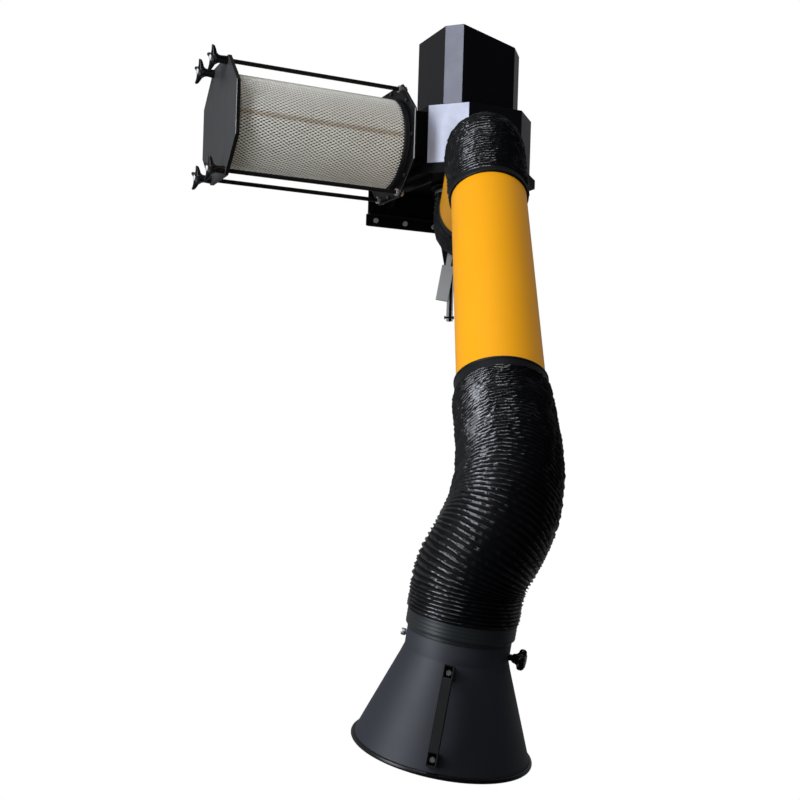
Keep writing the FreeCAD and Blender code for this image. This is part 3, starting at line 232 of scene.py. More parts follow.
# Wall anchors: black steel screws with hexagon heads on round washers, one through each corner
# hole of the wall plate.
ANCHOR_SPAN = 0.390
ANCHOR_RISE = 0.220
ANCHOR_WASHER = (28, 0.0105, 0.0, 0.0018)
ANCHOR_HEAD = (6, 0.0075, 0.0018, 0.0068)


def show(name, mesh):
    """Puts a mesh into the scene as an object of that name."""
    obj = bpy.data.objects.new(name, mesh)
    bpy.context.scene.collection.objects.link(obj)
    return obj


def finish_piece(obj, body, slot, finish, *nodes):
    """Material, body and the CAD nodes that the piece stands for; the slot argument is not used."""
    obj.data.materials.clear()
    obj.data.materials.append(finish)
    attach(obj, body)
    if nodes:
        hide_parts(*nodes)


plate_low, plate_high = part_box("wall_plate")
anchor_work = bmesh.new()
for across in (-0.5, 0.5):
    for rise in (-0.5, 0.5):
        middle = ((plate_low[0] + plate_high[0]) / 2 + across * ANCHOR_SPAN,
                  plate_low[1], (plate_low[2] + plate_high[2]) / 2 + rise * ANCHOR_RISE)
        spot = Matrix.Translation(middle) @ Matrix.Rotation(math.radians(90), 4, "X")
        for sides, radius, low, high in (ANCHOR_WASHER, ANCHOR_HEAD):
            bmesh.ops.create_cone(anchor_work, cap_ends=True, segments=sides, radius1=radius,
                                  radius2=radius * 0.94, depth=high - low,
                                  matrix=spot @ Matrix.Translation((0.0, 0.0, (low + high) / 2)))
anchor_mesh = bpy.data.meshes.new("wall_anchors")
anchor_work.to_mesh(anchor_mesh)
anchor_work.free()
finish_piece(show("wall_anchors", anchor_mesh), "base", "black_steel", black_gloss)


# Fan housing and motor housing: the same black gloss, with a painted bluish reflection of the window on
# the two corner faces towards the window, more of it on the lower box. The duct to the filter unit belongs
# to them.
def gloss_with_painted_reflection(name, painted_reflection, rough):
    """Black gloss with a blotchy painted reflection of the window on faces that look to the left and
    front.
    """
    finish = paint(name, (0.0030, 0.0030, 0.0042, 1.0), rough, sheen=0.5, peel=0.05, peel_scale=50.0)
    tree = finish.node_tree
    shader = tree.nodes["Principled BSDF"]
    black = shader.inputs["Base Color"].links[0].from_socket
    where = tree.nodes.new("ShaderNodeTexCoord")
    facing = tree.nodes.new("ShaderNodeVectorMath")
    facing.operation = "DOT_PRODUCT"
    facing.inputs[1].default_value = (-0.7071, -0.7071, 0.0)
    limit = reckon(tree, "GREATER_THAN", 0.9)
    blotch = tree.nodes.new("ShaderNodeTexNoise")
    blotch.inputs["Scale"].default_value = 14.0
    blotch.inputs["Detail"].default_value = 6.0
    amount = spread(tree, 0.70, 1.0, 0.3, 0.62)
    share = reckon(tree, "MULTIPLY")
    mix = blend_colours(tree, two=painted_reflection)
    link(tree, (where, "Normal", facing, 0), (facing, "Value", limit, 0),
         (where, "Object", blotch, "Vector"), (blotch, "Fac", amount, "Value"),
         (limit, "Value", share, 0), (amount, "Result", share, 1), (share, "Value", mix, 0))
    tree.links.new(black, mix.inputs[COLOUR_A])
    link(tree, (mix, COLOUR_OUT, shader, "Base Color"))
    return finish


# Painted reflection of the window: pale lilac on the lower box's corner faces, dim blue on the upper
# box's.
dress("fan_housing", gloss_with_painted_reflection("fan_gloss", (0.64, 0.68, 0.84, 1.0), 0.32), 0.0014)
dress("motor_housing", gloss_with_painted_reflection("motor_gloss", (0.060, 0.064, 0.110, 1.0), 0.24), 0.0014)
dress("outlet_duct", black_gloss, 0.001)


# Bolts, nuts, hose clamp and pin: zinc-plated steel. The nuts, clamp and pin are bright, the bolts
# of the filter flange dull, and the bolt heads of the angle painted pale grey as a painted glint.
def metal(name, colour, rough, grain=0.15):
    """Bare or plated metal with fine uneven gloss."""
    dark = [channel * (1.0 - grain) for channel in colour]
    pale = [min(1.0, channel * (1.0 + grain)) for channel in colour]
    finish = clouded(name, 140.0, 4.0, dark, pale, rough * 0.7, rough * 1.4)
    finish.node_tree.nodes["Principled BSDF"].inputs["Metallic"].default_value = 1.0
    return finish


zinc = metal("bright_zinc", (0.92, 0.93, 0.94), 0.42)
for node in ("rod_nuts", "spigot_clamp", "stay_pin"):
    dress(node, zinc, 0.0005)
dull_zinc = metal("dull_zinc", (0.20, 0.20, 0.21), 0.30)
dress("flange_bolts", dull_zinc, 0.0005)
# Pale grey paint on the angle's bolt heads: a painted glint.
dress("rail_bolts", paint("glint_grey_head", (0.32, 0.32, 0.33, 1.0), 0.30, sheen=0.9, peel=0.02), 0.0012)
# White paint in place of zinc on rod ends and screw heads: a painted glint that stays bright even in
# shaded pockets.
glint_white_head = paint("glint_white_head", (0.90, 0.91, 0.92, 1.0), 0.28, sheen=1.0, peel=0.02)


# What hides inside: the motor with its shaft and wheel, the inlet cone, and the forks, tangs and
# pins of the pivots. Rolled and machined steel, a cast motor body, a nylon slip ring.
rolled_steel = metal("rolled_steel", (0.50, 0.50, 0.51), 0.38)
for node in ("inlet_cone", "impeller", "rotor_shaft", "shoulder_fork", "shoulder_pin", "shoulder_tang",
             "elbow_fork", "elbow_pin", "elbow_tang", "head_stay", "head_pin", "head_rod",
             "damper_disc", "damper_spindle"):
    dress(node, rolled_steel, 0.0006)
dress("motor_body", metal("cast_alloy", (0.46, 0.47, 0.48), 0.55), 0.001)
dress("slip_ring", paint("nylon", (0.70, 0.69, 0.64, 1.0), 0.45))


# Filter flange, gasket and end plate: octagonal sheets of steel and a rubber ring. The flange is
# black, the plate dark grey on its face with a black rim, and on both a pale painted highlight runs
# along the upright edge at the front.
FACE_LIMIT = -0.96
EDGE_LIMIT = -0.12
UPRIGHT_LIMIT = 0.25


def sided(name, finish, rounding, face_colour, rim_colour, highlight_colour):
    """Paint in three tones by the way a surface looks: face, rim, and a painted highlight on the upright
    edge at the front.
    """
    tree = finish.node_tree
    shader = tree.nodes["Principled BSDF"]
    where = tree.nodes.new("ShaderNodeTexCoord")
    parts = tree.nodes.new("ShaderNodeSeparateXYZ")
    face = reckon(tree, "LESS_THAN", FACE_LIMIT)
    slope = reckon(tree, "LESS_THAN", EDGE_LIMIT)
    front = reckon(tree, "LESS_THAN", EDGE_LIMIT)
    corner = reckon(tree, "MULTIPLY")
    lean = reckon(tree, "ABSOLUTE")
    upright = reckon(tree, "LESS_THAN", UPRIGHT_LIMIT)
    highlight_edge = reckon(tree, "MULTIPLY")
    side_mix = blend_colours(tree, rim_colour, highlight_colour)
    face_mix = blend_colours(tree, two=face_colour)
    link(tree, (where, "Normal", parts, "Vector"), (parts, "X", face, 0), (parts, "X", slope, 0),
         (parts, "Y", front, 0), (slope, "Value", corner, 0), (front, "Value", corner, 1),
         (parts, "Z", lean, 0), (lean, "Value", upright, 0), (corner, "Value", highlight_edge, 0),
         (upright, "Value", highlight_edge, 1), (highlight_edge, "Value", side_mix, 0), (face, "Value", face_mix, 0),
         (side_mix, COLOUR_OUT, face_mix, COLOUR_A), (face_mix, COLOUR_OUT, shader, "Base Color"))
    dress(name, finish, rounding)


# The pale third colour on both sheets is a painted highlight along the upright front edge.
sided("end_plate", paint("end_grey", (0.03, 0.03, 0.03, 1.0), 0.42, sheen=0.45, drift=0.08),
      0.0028, (0.060, 0.060, 0.061, 1.0), (0.002, 0.002, 0.002, 1.0), (0.75, 0.76, 0.78, 1.0))
sided("filter_flange", paint("flange_black", BLACK_GLOSS, 0.32, sheen=0.30),
      0.0020, BLACK_GLOSS, BLACK_GLOSS, (0.45, 0.45, 0.46, 1.0))
dress("filter_gasket", paint("seal_rubber", (0.02, 0.02, 0.02, 1.0), 0.7, sheen=0.2))


# Threaded rods: four rods of black threaded steel, screwed into the filter flange. Round pieces like
# these are turned afresh so that they are smooth: a section of radius and height about an axis.
def ring_faces(rows, sides, closed):
    """Quads between neighbouring rings of points."""
    faces = []
    for row in range(rows if closed else rows - 1):
        low = row * sides
        high = (row + 1) % rows * sides
        for side in range(sides):
            after = (side + 1) % sides
            faces.append((low + side, low + after, high + after, high + side))
    return faces


def turn_round(name, section, place, sides=96, closed=True):
    """A turned mesh from (radius, height) points, about the Z axis of a place."""
    mesh = bpy.data.meshes.new(name)
    verts = []
    for radius, height in section:
        for side in range(sides):
            angle = 2.0 * math.pi * side / sides
            verts.append((radius * math.cos(angle), radius * math.sin(angle), height))
    mesh.from_pydata(verts, [], ring_faces(len(section), sides, closed))
    mesh.transform(place)
    mesh.validate()
    obj = show(name, mesh)
    soften(obj)
    return obj


def soften(obj, angle=40.0):
    """Outward normals, smooth faces, and sharp edges where the surface really turns."""
    work = bmesh.new()
    work.from_mesh(obj.data)
    bmesh.ops.remove_doubles(work, verts=work.verts, dist=1e-6)
    bmesh.ops.recalc_face_normals(work, faces=work.faces)
    for edge in work.edges:
        if len(edge.link_faces) == 2:
            edge.smooth = edge.calc_face_angle(0.0) < math.radians(angle)
    for face in work.faces:
        face.smooth = True
    work.to_mesh(obj.data)
    work.free()


def axis_frame(place, direction, up=(0.0, 0.0, 1.0)):
    """A place whose Z runs along a direction and whose X lies nearest to up."""
    z = Vector(direction).normalized()
    x = Vector(up) - z * z.dot(Vector(up))
    x.normalize()
    y = z.cross(x)
    return Matrix.Translation(place) @ Matrix((x, y, z)).transposed().to_4x4()


ROD_RADIUS = 0.006
ROD_CHAMFER = 0.001
ROD_SPREAD = 0.062
ROD_RISE = 0.142
THREAD_DEPTH = 0.0005
THREAD_PITCH = 0.0035
NEAR_AXIS = 0.0002
FILTER_AXIS = Vector((0.0, -0.2, 0.0267))
black_rod = paint("black_rod", (0.004, 0.004, 0.004, 1.0), 0.4, sheen=0.3)
rod_low, rod_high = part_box("tie_rods")
rod_length = rod_high[0] - rod_low[0]
rod_section = [(NEAR_AXIS, 0.0), (ROD_RADIUS - ROD_CHAMFER, 0.0)]
for step in range(int(rod_length / THREAD_PITCH)):
    rod_section.append((ROD_RADIUS - THREAD_DEPTH, ROD_CHAMFER + (step + 0.1) * THREAD_PITCH))
    rod_section.append((ROD_RADIUS, ROD_CHAMFER + (step + 0.5) * THREAD_PITCH))
rod_section += [(ROD_RADIUS - ROD_CHAMFER, rod_length), (NEAR_AXIS, rod_length)]
rod_mesh = bpy.data.meshes.new("threaded_rods")
rod_work = bmesh.new()
for side in (-1, 1):
    for rise in (-1, 1):
        centre = FILTER_AXIS + Vector((0.0, side * ROD_SPREAD, rise * ROD_RISE))
        rod_place = axis_frame((rod_low[0], centre.y, centre.z), (1, 0, 0))
        rod_part = turn_round("rod_part", rod_section, rod_place, 14, False)
        rod_work.from_mesh(rod_part.data)
        bpy.data.objects.remove(rod_part)
rod_work.to_mesh(rod_mesh)
rod_work.free()
finish_piece(show("threaded_rods", rod_mesh), "base", "black_rod", black_rod, "tie_rods")


# Filter cartridge: black end caps and a pleated brown fleece, inside a guard of cream-coated
# expanded steel. Each strand of the guard is slanted, as the slitting press leaves it, and the
# sheet's two ends lap along one browner line.
GUARD_RADIUS = 0.125
MESH_LENGTH = 0.0150
MESH_AROUND = 90
STRAND = 0.0013
LAP_FROM = 3.09
LAP_TO = 3.19
cap_finish = paint("cap_black", (0.014, 0.014, 0.015, 1.0), 0.35, sheen=0.45)
for node in ("cartridge_cap", "cartridge_rim"):
    dress(node, cap_finish, 0.001)
dress("filter_pleats", paint("brown_fleece", (0.38, 0.33, 0.25, 1.0), 0.9, sheen=0.1, drift=0.3))


def drawn_in(part, by):
    """A share of an opening, moved towards its middle but not past it."""
    return math.copysign(max(0.0, abs(part) - by), part) if part else 0.0


def expanded_metal(low, high):
    """Diamond openings round the filter's axis, as four slanted strands about each opening."""
    columns = int((high - low) / MESH_LENGTH)
    length = (high - low) / columns
    step = 2.0 * math.pi / MESH_AROUND
    shares = (STRAND / length * 1.5, STRAND / (GUARD_RADIUS * step) * 1.35)
    verts = []
    faces = []
    lap = []
    for column in range(2 * columns):
        for row in range(MESH_AROUND):
            x = low + (column / 2.0 + 0.5) * length
            angle = (row + 0.5 * (column % 2)) * step
            if x + length / 2 > high + 1e-6:
                continue
            first = len(verts)
            for outer in (True, False):
                for along, around in ((-0.5, 0.0), (0.0, 0.5), (0.5, 0.0), (0.0, -0.5)):
                    if outer:
                        dx, da, dr = along, around, 0.0008 * around
                    else:
                        dx = drawn_in(along, shares[0])
                        da = drawn_in(around, shares[1])
                        dr = -0.0013 * (1.0 if around <= 0 else 0.2)
                    turn = angle + da * step
                    radius = GUARD_RADIUS - 0.0004 + dr
                    verts.append((x + dx * length, FILTER_AXIS.y + radius * math.cos(turn),
                                  FILTER_AXIS.z + radius * math.sin(turn)))
            for corner in range(4):
                after = (corner + 1) % 4
                faces.append((first + corner, first + after, first + 4 + after, first + 4 + corner))
                lap.append(1 if LAP_FROM < angle % (2.0 * math.pi) < LAP_TO else 0)
    mesh = bpy.data.meshes.new("expanded_guard")
    mesh.from_pydata(verts, [], faces)
    mesh.update()
    return mesh, lap


guard_low, guard_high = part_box("guard_mesh")
guard_sheet, guard_lap = expanded_metal(guard_low[0], guard_high[0])
cream = paint("cream_coat", (0.97, 0.94, 0.84, 1.0), 0.45, sheen=0.5, peel=0.05, drift=0.1)
finish_piece(show("expanded_guard", guard_sheet), "filter", "cream_mesh", cream, "guard_mesh")
guard_sheet.materials.append(paint("cream_lap", (0.66, 0.58, 0.47, 1.0), 0.5, sheen=0.4, drift=0.15))
for face, which in zip(guard_sheet.polygons, guard_lap):
    face.material_index = which


# Star knobs: glossy black moulded knobs on the ends of the rods. Four arms taper to rounded tips
# and sweep outward from a long boss, and the end of the rod shows bright in the middle, painted white as a
# painted glint.
glossy_black = paint("glossy_black", (0.003, 0.003, 0.0035, 1.0), 0.18, sheen=0.6, peel=0.03, dust=0.001)
KNOB_REACH = 0.0335
KNOB_LEVEL = 0.036
KNOB_ARMS = 4
KNOB_TURN = 57
ARM_SIDES = 14
ARM_ROWS = ((0.0, 0.013, 0.009775, 0.0), (0.30, 0.01105, 0.008625, 0.0008),
            (0.55, 0.00806, 0.0069, 0.0022), (0.78, 0.00598, 0.00552, 0.0045),
            (0.92, 0.00468, 0.0046, 0.0064), (0.985, 0.00286, 0.00299, 0.0075),
            (1.0, 0.00078, 0.00092, 0.0078))
HUB_SECTION = ((0.0066, 0.0), (0.0105, 0.0), (0.0108, 0.004), (0.0098, 0.018), (0.0112, 0.025),
               (0.0150, 0.0295), (0.0158, 0.034), (0.0150, 0.0395), (0.0118, 0.0432),
               (0.0078, 0.0446), (0.0066, 0.0440))
TIP_SECTION = ((NEAR_AXIS, 0.0420), (0.0074, 0.0420), (0.0074, 0.0456), (0.0058, 0.0474),
               (NEAR_AXIS, 0.0480))


def knob_arm(work, turn):
    """One tapered arm as a row of oval rings, from inside the hub to its tip."""
    rows = []
    for share, width, thick, lift in ARM_ROWS:
        ring = []
        for side in range(ARM_SIDES):
            angle = 2.0 * math.pi * side / ARM_SIDES
            spot = Vector((KNOB_REACH * share, width * math.cos(angle),
                           KNOB_LEVEL + lift + thick * math.sin(angle)))
            ring.append(work.verts.new(turn @ spot))
        rows.append(ring)
    for one, two in zip(rows, rows[1:]):
        for side in range(ARM_SIDES):
            after = (side + 1) % ARM_SIDES
            work.faces.new((one[side], one[after], two[after], two[side]))
    work.faces.new(rows[-1])


def star_knob(side):
    """Boss, hub and arms in one moulding, and the bright end of its screw, about the knob's axis."""
    name = "star_grip_" + side
    knob_low, knob_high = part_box("star_knob_" + side)
    foot = (Vector(knob_low) + Vector(knob_high)) / 2
    foot.x = knob_high[0]
    place = axis_frame(foot, (-1, 0, 0))
    boss = turn_round(name, HUB_SECTION, Matrix.Identity(4), 40)
    work = bmesh.new()
    work.from_mesh(boss.data)
    for arm in range(KNOB_ARMS):
        turn = math.radians(KNOB_TURN + 360 * arm / KNOB_ARMS)
        knob_arm(work, Matrix.Rotation(turn, 4, "Z"))
    work.to_mesh(boss.data)
    work.free()
    boss.data.transform(place)
    soften(boss, 55)
    tip = turn_round(name + "_rod_end", TIP_SECTION, place, 24, False)
    finish_piece(tip, "knob_" + side, "zinc_steel", glint_white_head)
    finish_piece(boss, "knob_" + side, "black_plastic", glossy_black, "star_knob_" + side)


for side in ("front_lower", "front_upper", "back_lower", "back_upper"):
    star_knob(side)


# Swivel: a black flanged collar that turns in the tray, and the bent hanger plate under it, which
# turns with the arm. Welded and folded steel in the same black gloss.
dress("swivel_collar", black_gloss, 0.0006)
dress("swivel_hanger", black_gloss, 0.0009)


# Spring stay: a grey moulded sleeve on a pin below the hanger, with two unpainted steel bars, a black
# plate between them as painted shade for the gap, and a black rivet across. The bars are flat stock with
# rounded ends.
ACROSS = Vector((0.906308, -0.422618, 0.0))
OUTWARD = Vector((-0.422618, -0.906308, 0.0))
BAR_THICK = 0.003
RIVET_LEVEL = -0.431
grey_sleeve = paint("grey_sleeve", (0.42, 0.42, 0.41, 1.0), 0.5, sheen=0.4, peel=0.3, peel_scale=400.0)
dress("stay_sleeve", grey_sleeve, 0.005)
stay_low, stay_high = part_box("stay_links")
stay_middle = (Vector(stay_low) + Vector(stay_high)) / 2
stay_turn = Matrix((ACROSS, -OUTWARD, Vector((0.0, 0.0, 1.0)))).transposed().to_4x4()


def flat_bar(name, across, front, width, finish):
    """One upright flat bar of the stay with rounded ends and edges, as long as the stay."""
    half = (stay_high[2] - stay_low[2]) / 2
    round_end = width / 2
    outline = []
    for end in (1.0, -1.0):
        for step in range(9):
            angle = math.radians(20.0 * step + (0.0 if end > 0 else 180.0) + 10.0)
            outline.append((round_end * math.cos(angle),
                            end * (half - round_end) + round_end * math.sin(angle)))
    work = bmesh.new()
    face = work.faces.new([work.verts.new((x, -BAR_THICK / 2, z)) for x, z in outline])
    pushed = bmesh.ops.extrude_face_region(work, geom=[face])
    moved = [part for part in pushed["geom"] if isinstance(part, bmesh.types.BMVert)]
    bmesh.ops.translate(work, verts=moved, vec=(0.0, BAR_THICK, 0.0))
    place = Matrix.Translation(stay_middle + ACROSS * across + OUTWARD * front) @ stay_turn
    bmesh.ops.transform(work, matrix=place, verts=work.verts)
    bmesh.ops.recalc_face_normals(work, faces=work.faces)
    bmesh.ops.bevel(work, geom=[edge for edge in work.edges if edge.calc_face_angle(0.0) > 1.0],
                    offset=0.0008, segments=2, affect="EDGES", profile=0.5)
    mesh = bpy.data.meshes.new(name)
    work.to_mesh(mesh)
    work.free()
    bar = show(name, mesh)
    soften(bar)
    finish_piece(bar, "spring_stay", "plain_steel", finish, "stay_links")


bar_steel = paint("bar_steel", (0.40, 0.39, 0.39, 1.0), 0.35, sheen=0.8, drift=0.15)
flat_bar("stay_bar_left", -0.0026, 0.0040, 0.0080, bar_steel)
flat_bar("stay_bar_right", 0.0112, 0.0040, 0.0036, bar_steel)
# The black plate between the bars is painted shade: it stands for the shadow in the gap beside the sleeve.
flat_bar("stay_shade_plate", 0.0040, -0.0010, 0.0150, black_gloss)
rivet_half = ((NEAR_AXIS, -0.0145), (0.0044, -0.0145), (0.0052, -0.0136), (0.0052, -0.0108),
              (0.0030, -0.0104))
rivet_section = rivet_half + tuple((radius, -height) for radius, height in reversed(rivet_half))
rivet_middle = Vector((stay_middle.x, stay_middle.y, RIVET_LEVEL)) + ACROSS * 0.002 + OUTWARD * 0.004
stay_rivet = turn_round("stay_rivet", rivet_section, axis_frame(rivet_middle, ACROSS), 32, False)
finish_piece(stay_rivet, "spring_stay", "black_steel", black_gloss)


# Arm tubes: steel tube of 160 mm in a satin amber finish, with slightly rounded ends, over which
# the hoses are drawn.
TUBE = 0.080
TUBE_WALL = 0.0015
UPPER_START = 0.235
UPPER_END = 0.589
LOWER_START = 0.181
LOWER_END = 0.789
LOWER_FALL = math.radians(47.4)
shoulder_joint, elbow_joint = frame["joints"][4:6]
SHOULDER = Vector(shoulder_joint["pos_m"])
ELBOW = Vector(elbow_joint["pos_m"])
UPPER_WAY = (ELBOW - SHOULDER).normalized()
LOWER_WAY = OUTWARD * math.cos(LOWER_FALL) - Vector((0.0, 0.0, math.sin(LOWER_FALL)))
amber = paint("amber", (1.0, 0.41, 0.0, 1.0), 0.40, sheen=0.3, peel=0.05, peel_scale=700.0, drift=0.03)


def arm_tube(name, origin, way, low, high, body, node):
    """A thin tube with its bore, its ends rounded, along one length of the arm."""
    bore = TUBE - TUBE_WALL
    middle = TUBE - TUBE_WALL / 2
    section = [(bore, low), (middle, low), (TUBE, low + 0.0008), (TUBE, low + 0.02),
               (TUBE, (low + high) / 2), (TUBE, high - 0.02), (TUBE, high - 0.0008),
               (middle, high), (bore, high), (bore, (low + high) / 2)]
    tube = turn_round(name, section, axis_frame(origin, way), 128)
    finish_piece(tube, body, "yellow_paint", amber, node)


arm_tube("amber_upper_tube", SHOULDER, UPPER_WAY, UPPER_START, UPPER_END, "upper_arm", "upper_tube")
arm_tube("amber_lower_tube", ELBOW, LOWER_WAY, LOWER_START, LOWER_END, "lower_arm", "lower_tube")


# Hoses: black rubbered cloth over a spring wire. Smooth glued cuffs at both ends, and between
# them fine glossy ribs that run round as one screw, crumpled where the arm squeezes the hose,
# with the grooves painted darker and duller as painted shade. Clamps hold them on the tubes.
HOSE_BORE = 0.0803
HOSE_ROOT = 0.0838
HOSE_SIDES = 190
CLAMP_SIDES = 150
CUFF = 0.024
SKEW_REACH = 0.110
LIP = 0.0004
GROOVE = 0.30
CURVE_STEPS = 600
cuff_rubber = paint("cuff_rubber", (0.0035, 0.0045, 0.0050, 1.0), 0.45, sheen=0.3, peel=0.12,
                    peel_scale=420.0, drift=0.2)
band_rubber = paint("band_rubber", (0.0120, 0.0150, 0.0160, 1.0), 0.40, sheen=0.5, peel=0.2,
                    peel_scale=300.0, drift=0.2)
rib_rubber = paint("rib_rubber", (0.0022, 0.0024, 0.0036, 1.0), 0.22, sheen=0.75, peel=0.30,
                   peel_scale=260.0, dust=0.0008)
rib_rubber.node_tree.nodes["Bump"].inputs["Distance"].default_value = 0.0014
# Groove rubber is painted shade: darker and duller than the ribs, so the hollows between ribs read black.
groove_shade_rubber = paint("groove_shade_rubber", (0.0014, 0.0015, 0.0020, 1.0), 0.50, sheen=0.12, peel=0.2,
                      peel_scale=260.0)


def slanted(distance, length, slants, angle):
    """How far a hose's end is drawn down its tube on the upper side, where a cuff sits askew."""
    near_start = max(0.0, 1.0 - distance / SKEW_REACH)
    near_end = max(0.0, 1.0 - (length - distance) / SKEW_REACH)
    return (near_start * slants[0] + near_end * slants[1]) * math.sin(angle)


def bend_route(origin, down, side, before, radius, angle, after):
    """Stations of a straight, an arc towards side, and a straight: (point, way) by distance."""
    arc = radius * math.radians(angle)

    def station(distance):
        turned_by = min(max(distance - before, 0.0), arc) / radius
        start = min(distance, before)
        along = max(distance - before - arc, 0.0)
        sideways = radius * (1.0 - math.cos(turned_by)) + along * math.sin(turned_by)
        forwards = start + radius * math.sin(turned_by) + along * math.cos(turned_by)
        way = side * math.sin(turned_by) + down * math.cos(turned_by)
        return origin + side * sideways + down * forwards, way

    return station, before + arc + after


def sweep_route(poles, before, after):
    """Stations of a straight, a smooth curve led by six points, and a straight."""
    points = []
    for step in range(CURVE_STEPS + 1):
        t = step / CURVE_STEPS
        spot = Vector((0.0, 0.0, 0.0))
        for index, pole in enumerate(poles):
            spot += pole * (math.comb(5, index) * t ** index * (1.0 - t) ** (5 - index))
        points.append(spot)
    lengths = [0.0]
    for one, two in zip(points, points[1:]):
        lengths.append(lengths[-1] + (two - one).length)
    curved = lengths[-1]
    first_way = (poles[1] - poles[0]).normalized()
    last_way = (poles[5] - poles[4]).normalized()

    def station(distance):
        inside = distance - before
        if inside <= 0.0:
            return poles[0] + first_way * inside, first_way
        if inside >= curved:
            return poles[5] + last_way * (inside - curved), last_way
        low = 0
        high = CURVE_STEPS
        while high - low > 1:
            middle = (low + high) // 2
            if lengths[middle] <= inside:
                low = middle
            else:
                high = middle
        share = (inside - lengths[low]) / (lengths[high] - lengths[low])
        behind = points[max(low - 2, 0)]
        ahead = points[min(high + 2, CURVE_STEPS)]
        return points[low].lerp(points[high], share), (ahead - behind).normalized()

    return station, before + curved + after


def around(route, distance, sides):
    """The way of a hose at a distance, its centre, and (angle, outward) for each point round it."""
    centre, way = route(distance)
    x = (ACROSS - way * way.dot(ACROSS)).normalized()
    y = way.cross(x)
    spokes = []
    for side in range(sides):
        angle = 2.0 * math.pi * side / sides
        spokes.append((angle, x * math.cos(angle) + y * math.sin(angle)))
    return way, centre, spokes


def crinkled_hose(name, route, length, smooth, pitches, crumple, seed, slants, node):
    """The skin of one hose, smooth on its cuffs and bands and ribbed between them."""
    stops = [0.0, LIP, 0.0016]
    while stops[-1] < length - 0.0030:
        pitch = pitches[0] + (pitches[1] - pitches[0]) * stops[-1] / length
        ahead = stops[-1] + pitch / 6.0
        for start, stop, kept in smooth:
            if start + 0.002 < ahead < stop - 0.008 and not kept:
                ahead += 0.006
        stops.append(ahead)
    stops += [length - 0.0016, length - LIP, length]
    verts = []
    heights = []
    turns = 0.0
    for index, distance in enumerate(stops):
        pitch = pitches[0] + (pitches[1] - pitches[0]) * distance / length
        if index:
            turns += (distance - stops[index - 1]) / pitch
        ribbed = 1.0
        for start, stop, kept in smooth:
            outside = min(max(max(start - distance, distance - stop) / 0.004, 0.0), 1.0)
            ribbed = min(ribbed, max(outside, kept))
        root = HOSE_ROOT
        if distance <= 0.0 or distance >= length:
            root = HOSE_BORE
        elif distance <= LIP or distance >= length - LIP:
            root -= 0.0010
        way, centre, spokes = around(route, distance, HOSE_SIDES)
        for side, (angle, outward) in enumerate(spokes):
            radius = root
            ridge = 1.0
            if ribbed > 0.0:
                spot = centre + outward * HOSE_ROOT
                waver = noise.noise(spot * 22.0 + Vector((seed, 0.0, 0.0)))
                phase = turns + side / HOSE_SIDES + 0.20 * crumple * waver
                fine = noise.noise(outward * 11.0 + Vector((0.0, seed, 4.7 * math.floor(phase + 0.5))))
                ridge = (0.5 + 0.5 * math.cos(2.0 * math.pi * phase)) ** 3.0
                rise = 0.50 * pitch * (1.0 + 0.2 * waver + 0.60 * crumple * fine)
                radius += ribbed * (ridge * rise - 0.0004 * crumple * max(0.0, -waver))
            verts.append(centre + outward * radius + way * slanted(distance, length, slants, angle))
            heights.append(ridge)
    mesh = ring_mesh(name, verts, len(stops), HOSE_SIDES)
    for rubber in (rib_rubber, cuff_rubber, band_rubber, groove_shade_rubber):
        mesh.materials.append(rubber)
    for face in mesh.polygons:
        if sum(heights[corner] for corner in face.vertices) < 4 * GROOVE:
            face.material_index = 3
        middle = (stops[face.index // HOSE_SIDES] + stops[face.index // HOSE_SIDES + 1]) / 2
        for start, stop, kept in smooth:
            if start < middle < stop:
                face.material_index = 2 if kept else 1
    obj = show(name, mesh)
    route(0.030)[0]
    route(length - 0.030)[0]
    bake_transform(obj)
    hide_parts(node)


def ring_mesh(name, verts, rows, sides):
    """A skin of quads between neighbouring rings of points, smooth and facing outward."""
    mesh = bpy.data.meshes.new(name)
    mesh.from_pydata(verts, [], ring_faces(rows, sides, False))
    mesh.update()
    work = bmesh.new()
    work.from_mesh(mesh)
    bmesh.ops.recalc_face_normals(work, faces=work.faces)
    work.to_mesh(mesh)
    work.free()
    mesh.shade_smooth()
    return mesh


def hose_clamp(name, route, length, place, slants):
    """A thin rounded band round a cuff, at a distance along the hose and as askew as its end."""
    verts = []
    section = ((0.0, 0.0), (0.0004, 0.0009), (0.0014, 0.0013), (0.0046, 0.0013), (0.0056, 0.0009),
               (0.0060, 0.0))
    for along, rise in section:
        way, centre, spokes = around(route, place + along, CLAMP_SIDES)
        for angle, outward in spokes:
            push = slanted(place + along, length, slants, angle)
            verts.append(centre + outward * (HOSE_ROOT - 0.0002 + rise) + way * push)
    return ring_mesh(name, verts, len(section), CLAMP_SIDES)


def clamp_pair(name, rings, body, node):
    """The two clamps that one arm tube carries, joined as one piece."""
    work = bmesh.new()
    for ring in rings:
        work.from_mesh(ring)
    mesh = bpy.data.meshes.new(name)
    work.to_mesh(mesh)
    work.free()
    mesh.shade_smooth()
    finish_piece(show(name, mesh), body, "black_steel", clamp_black, node)


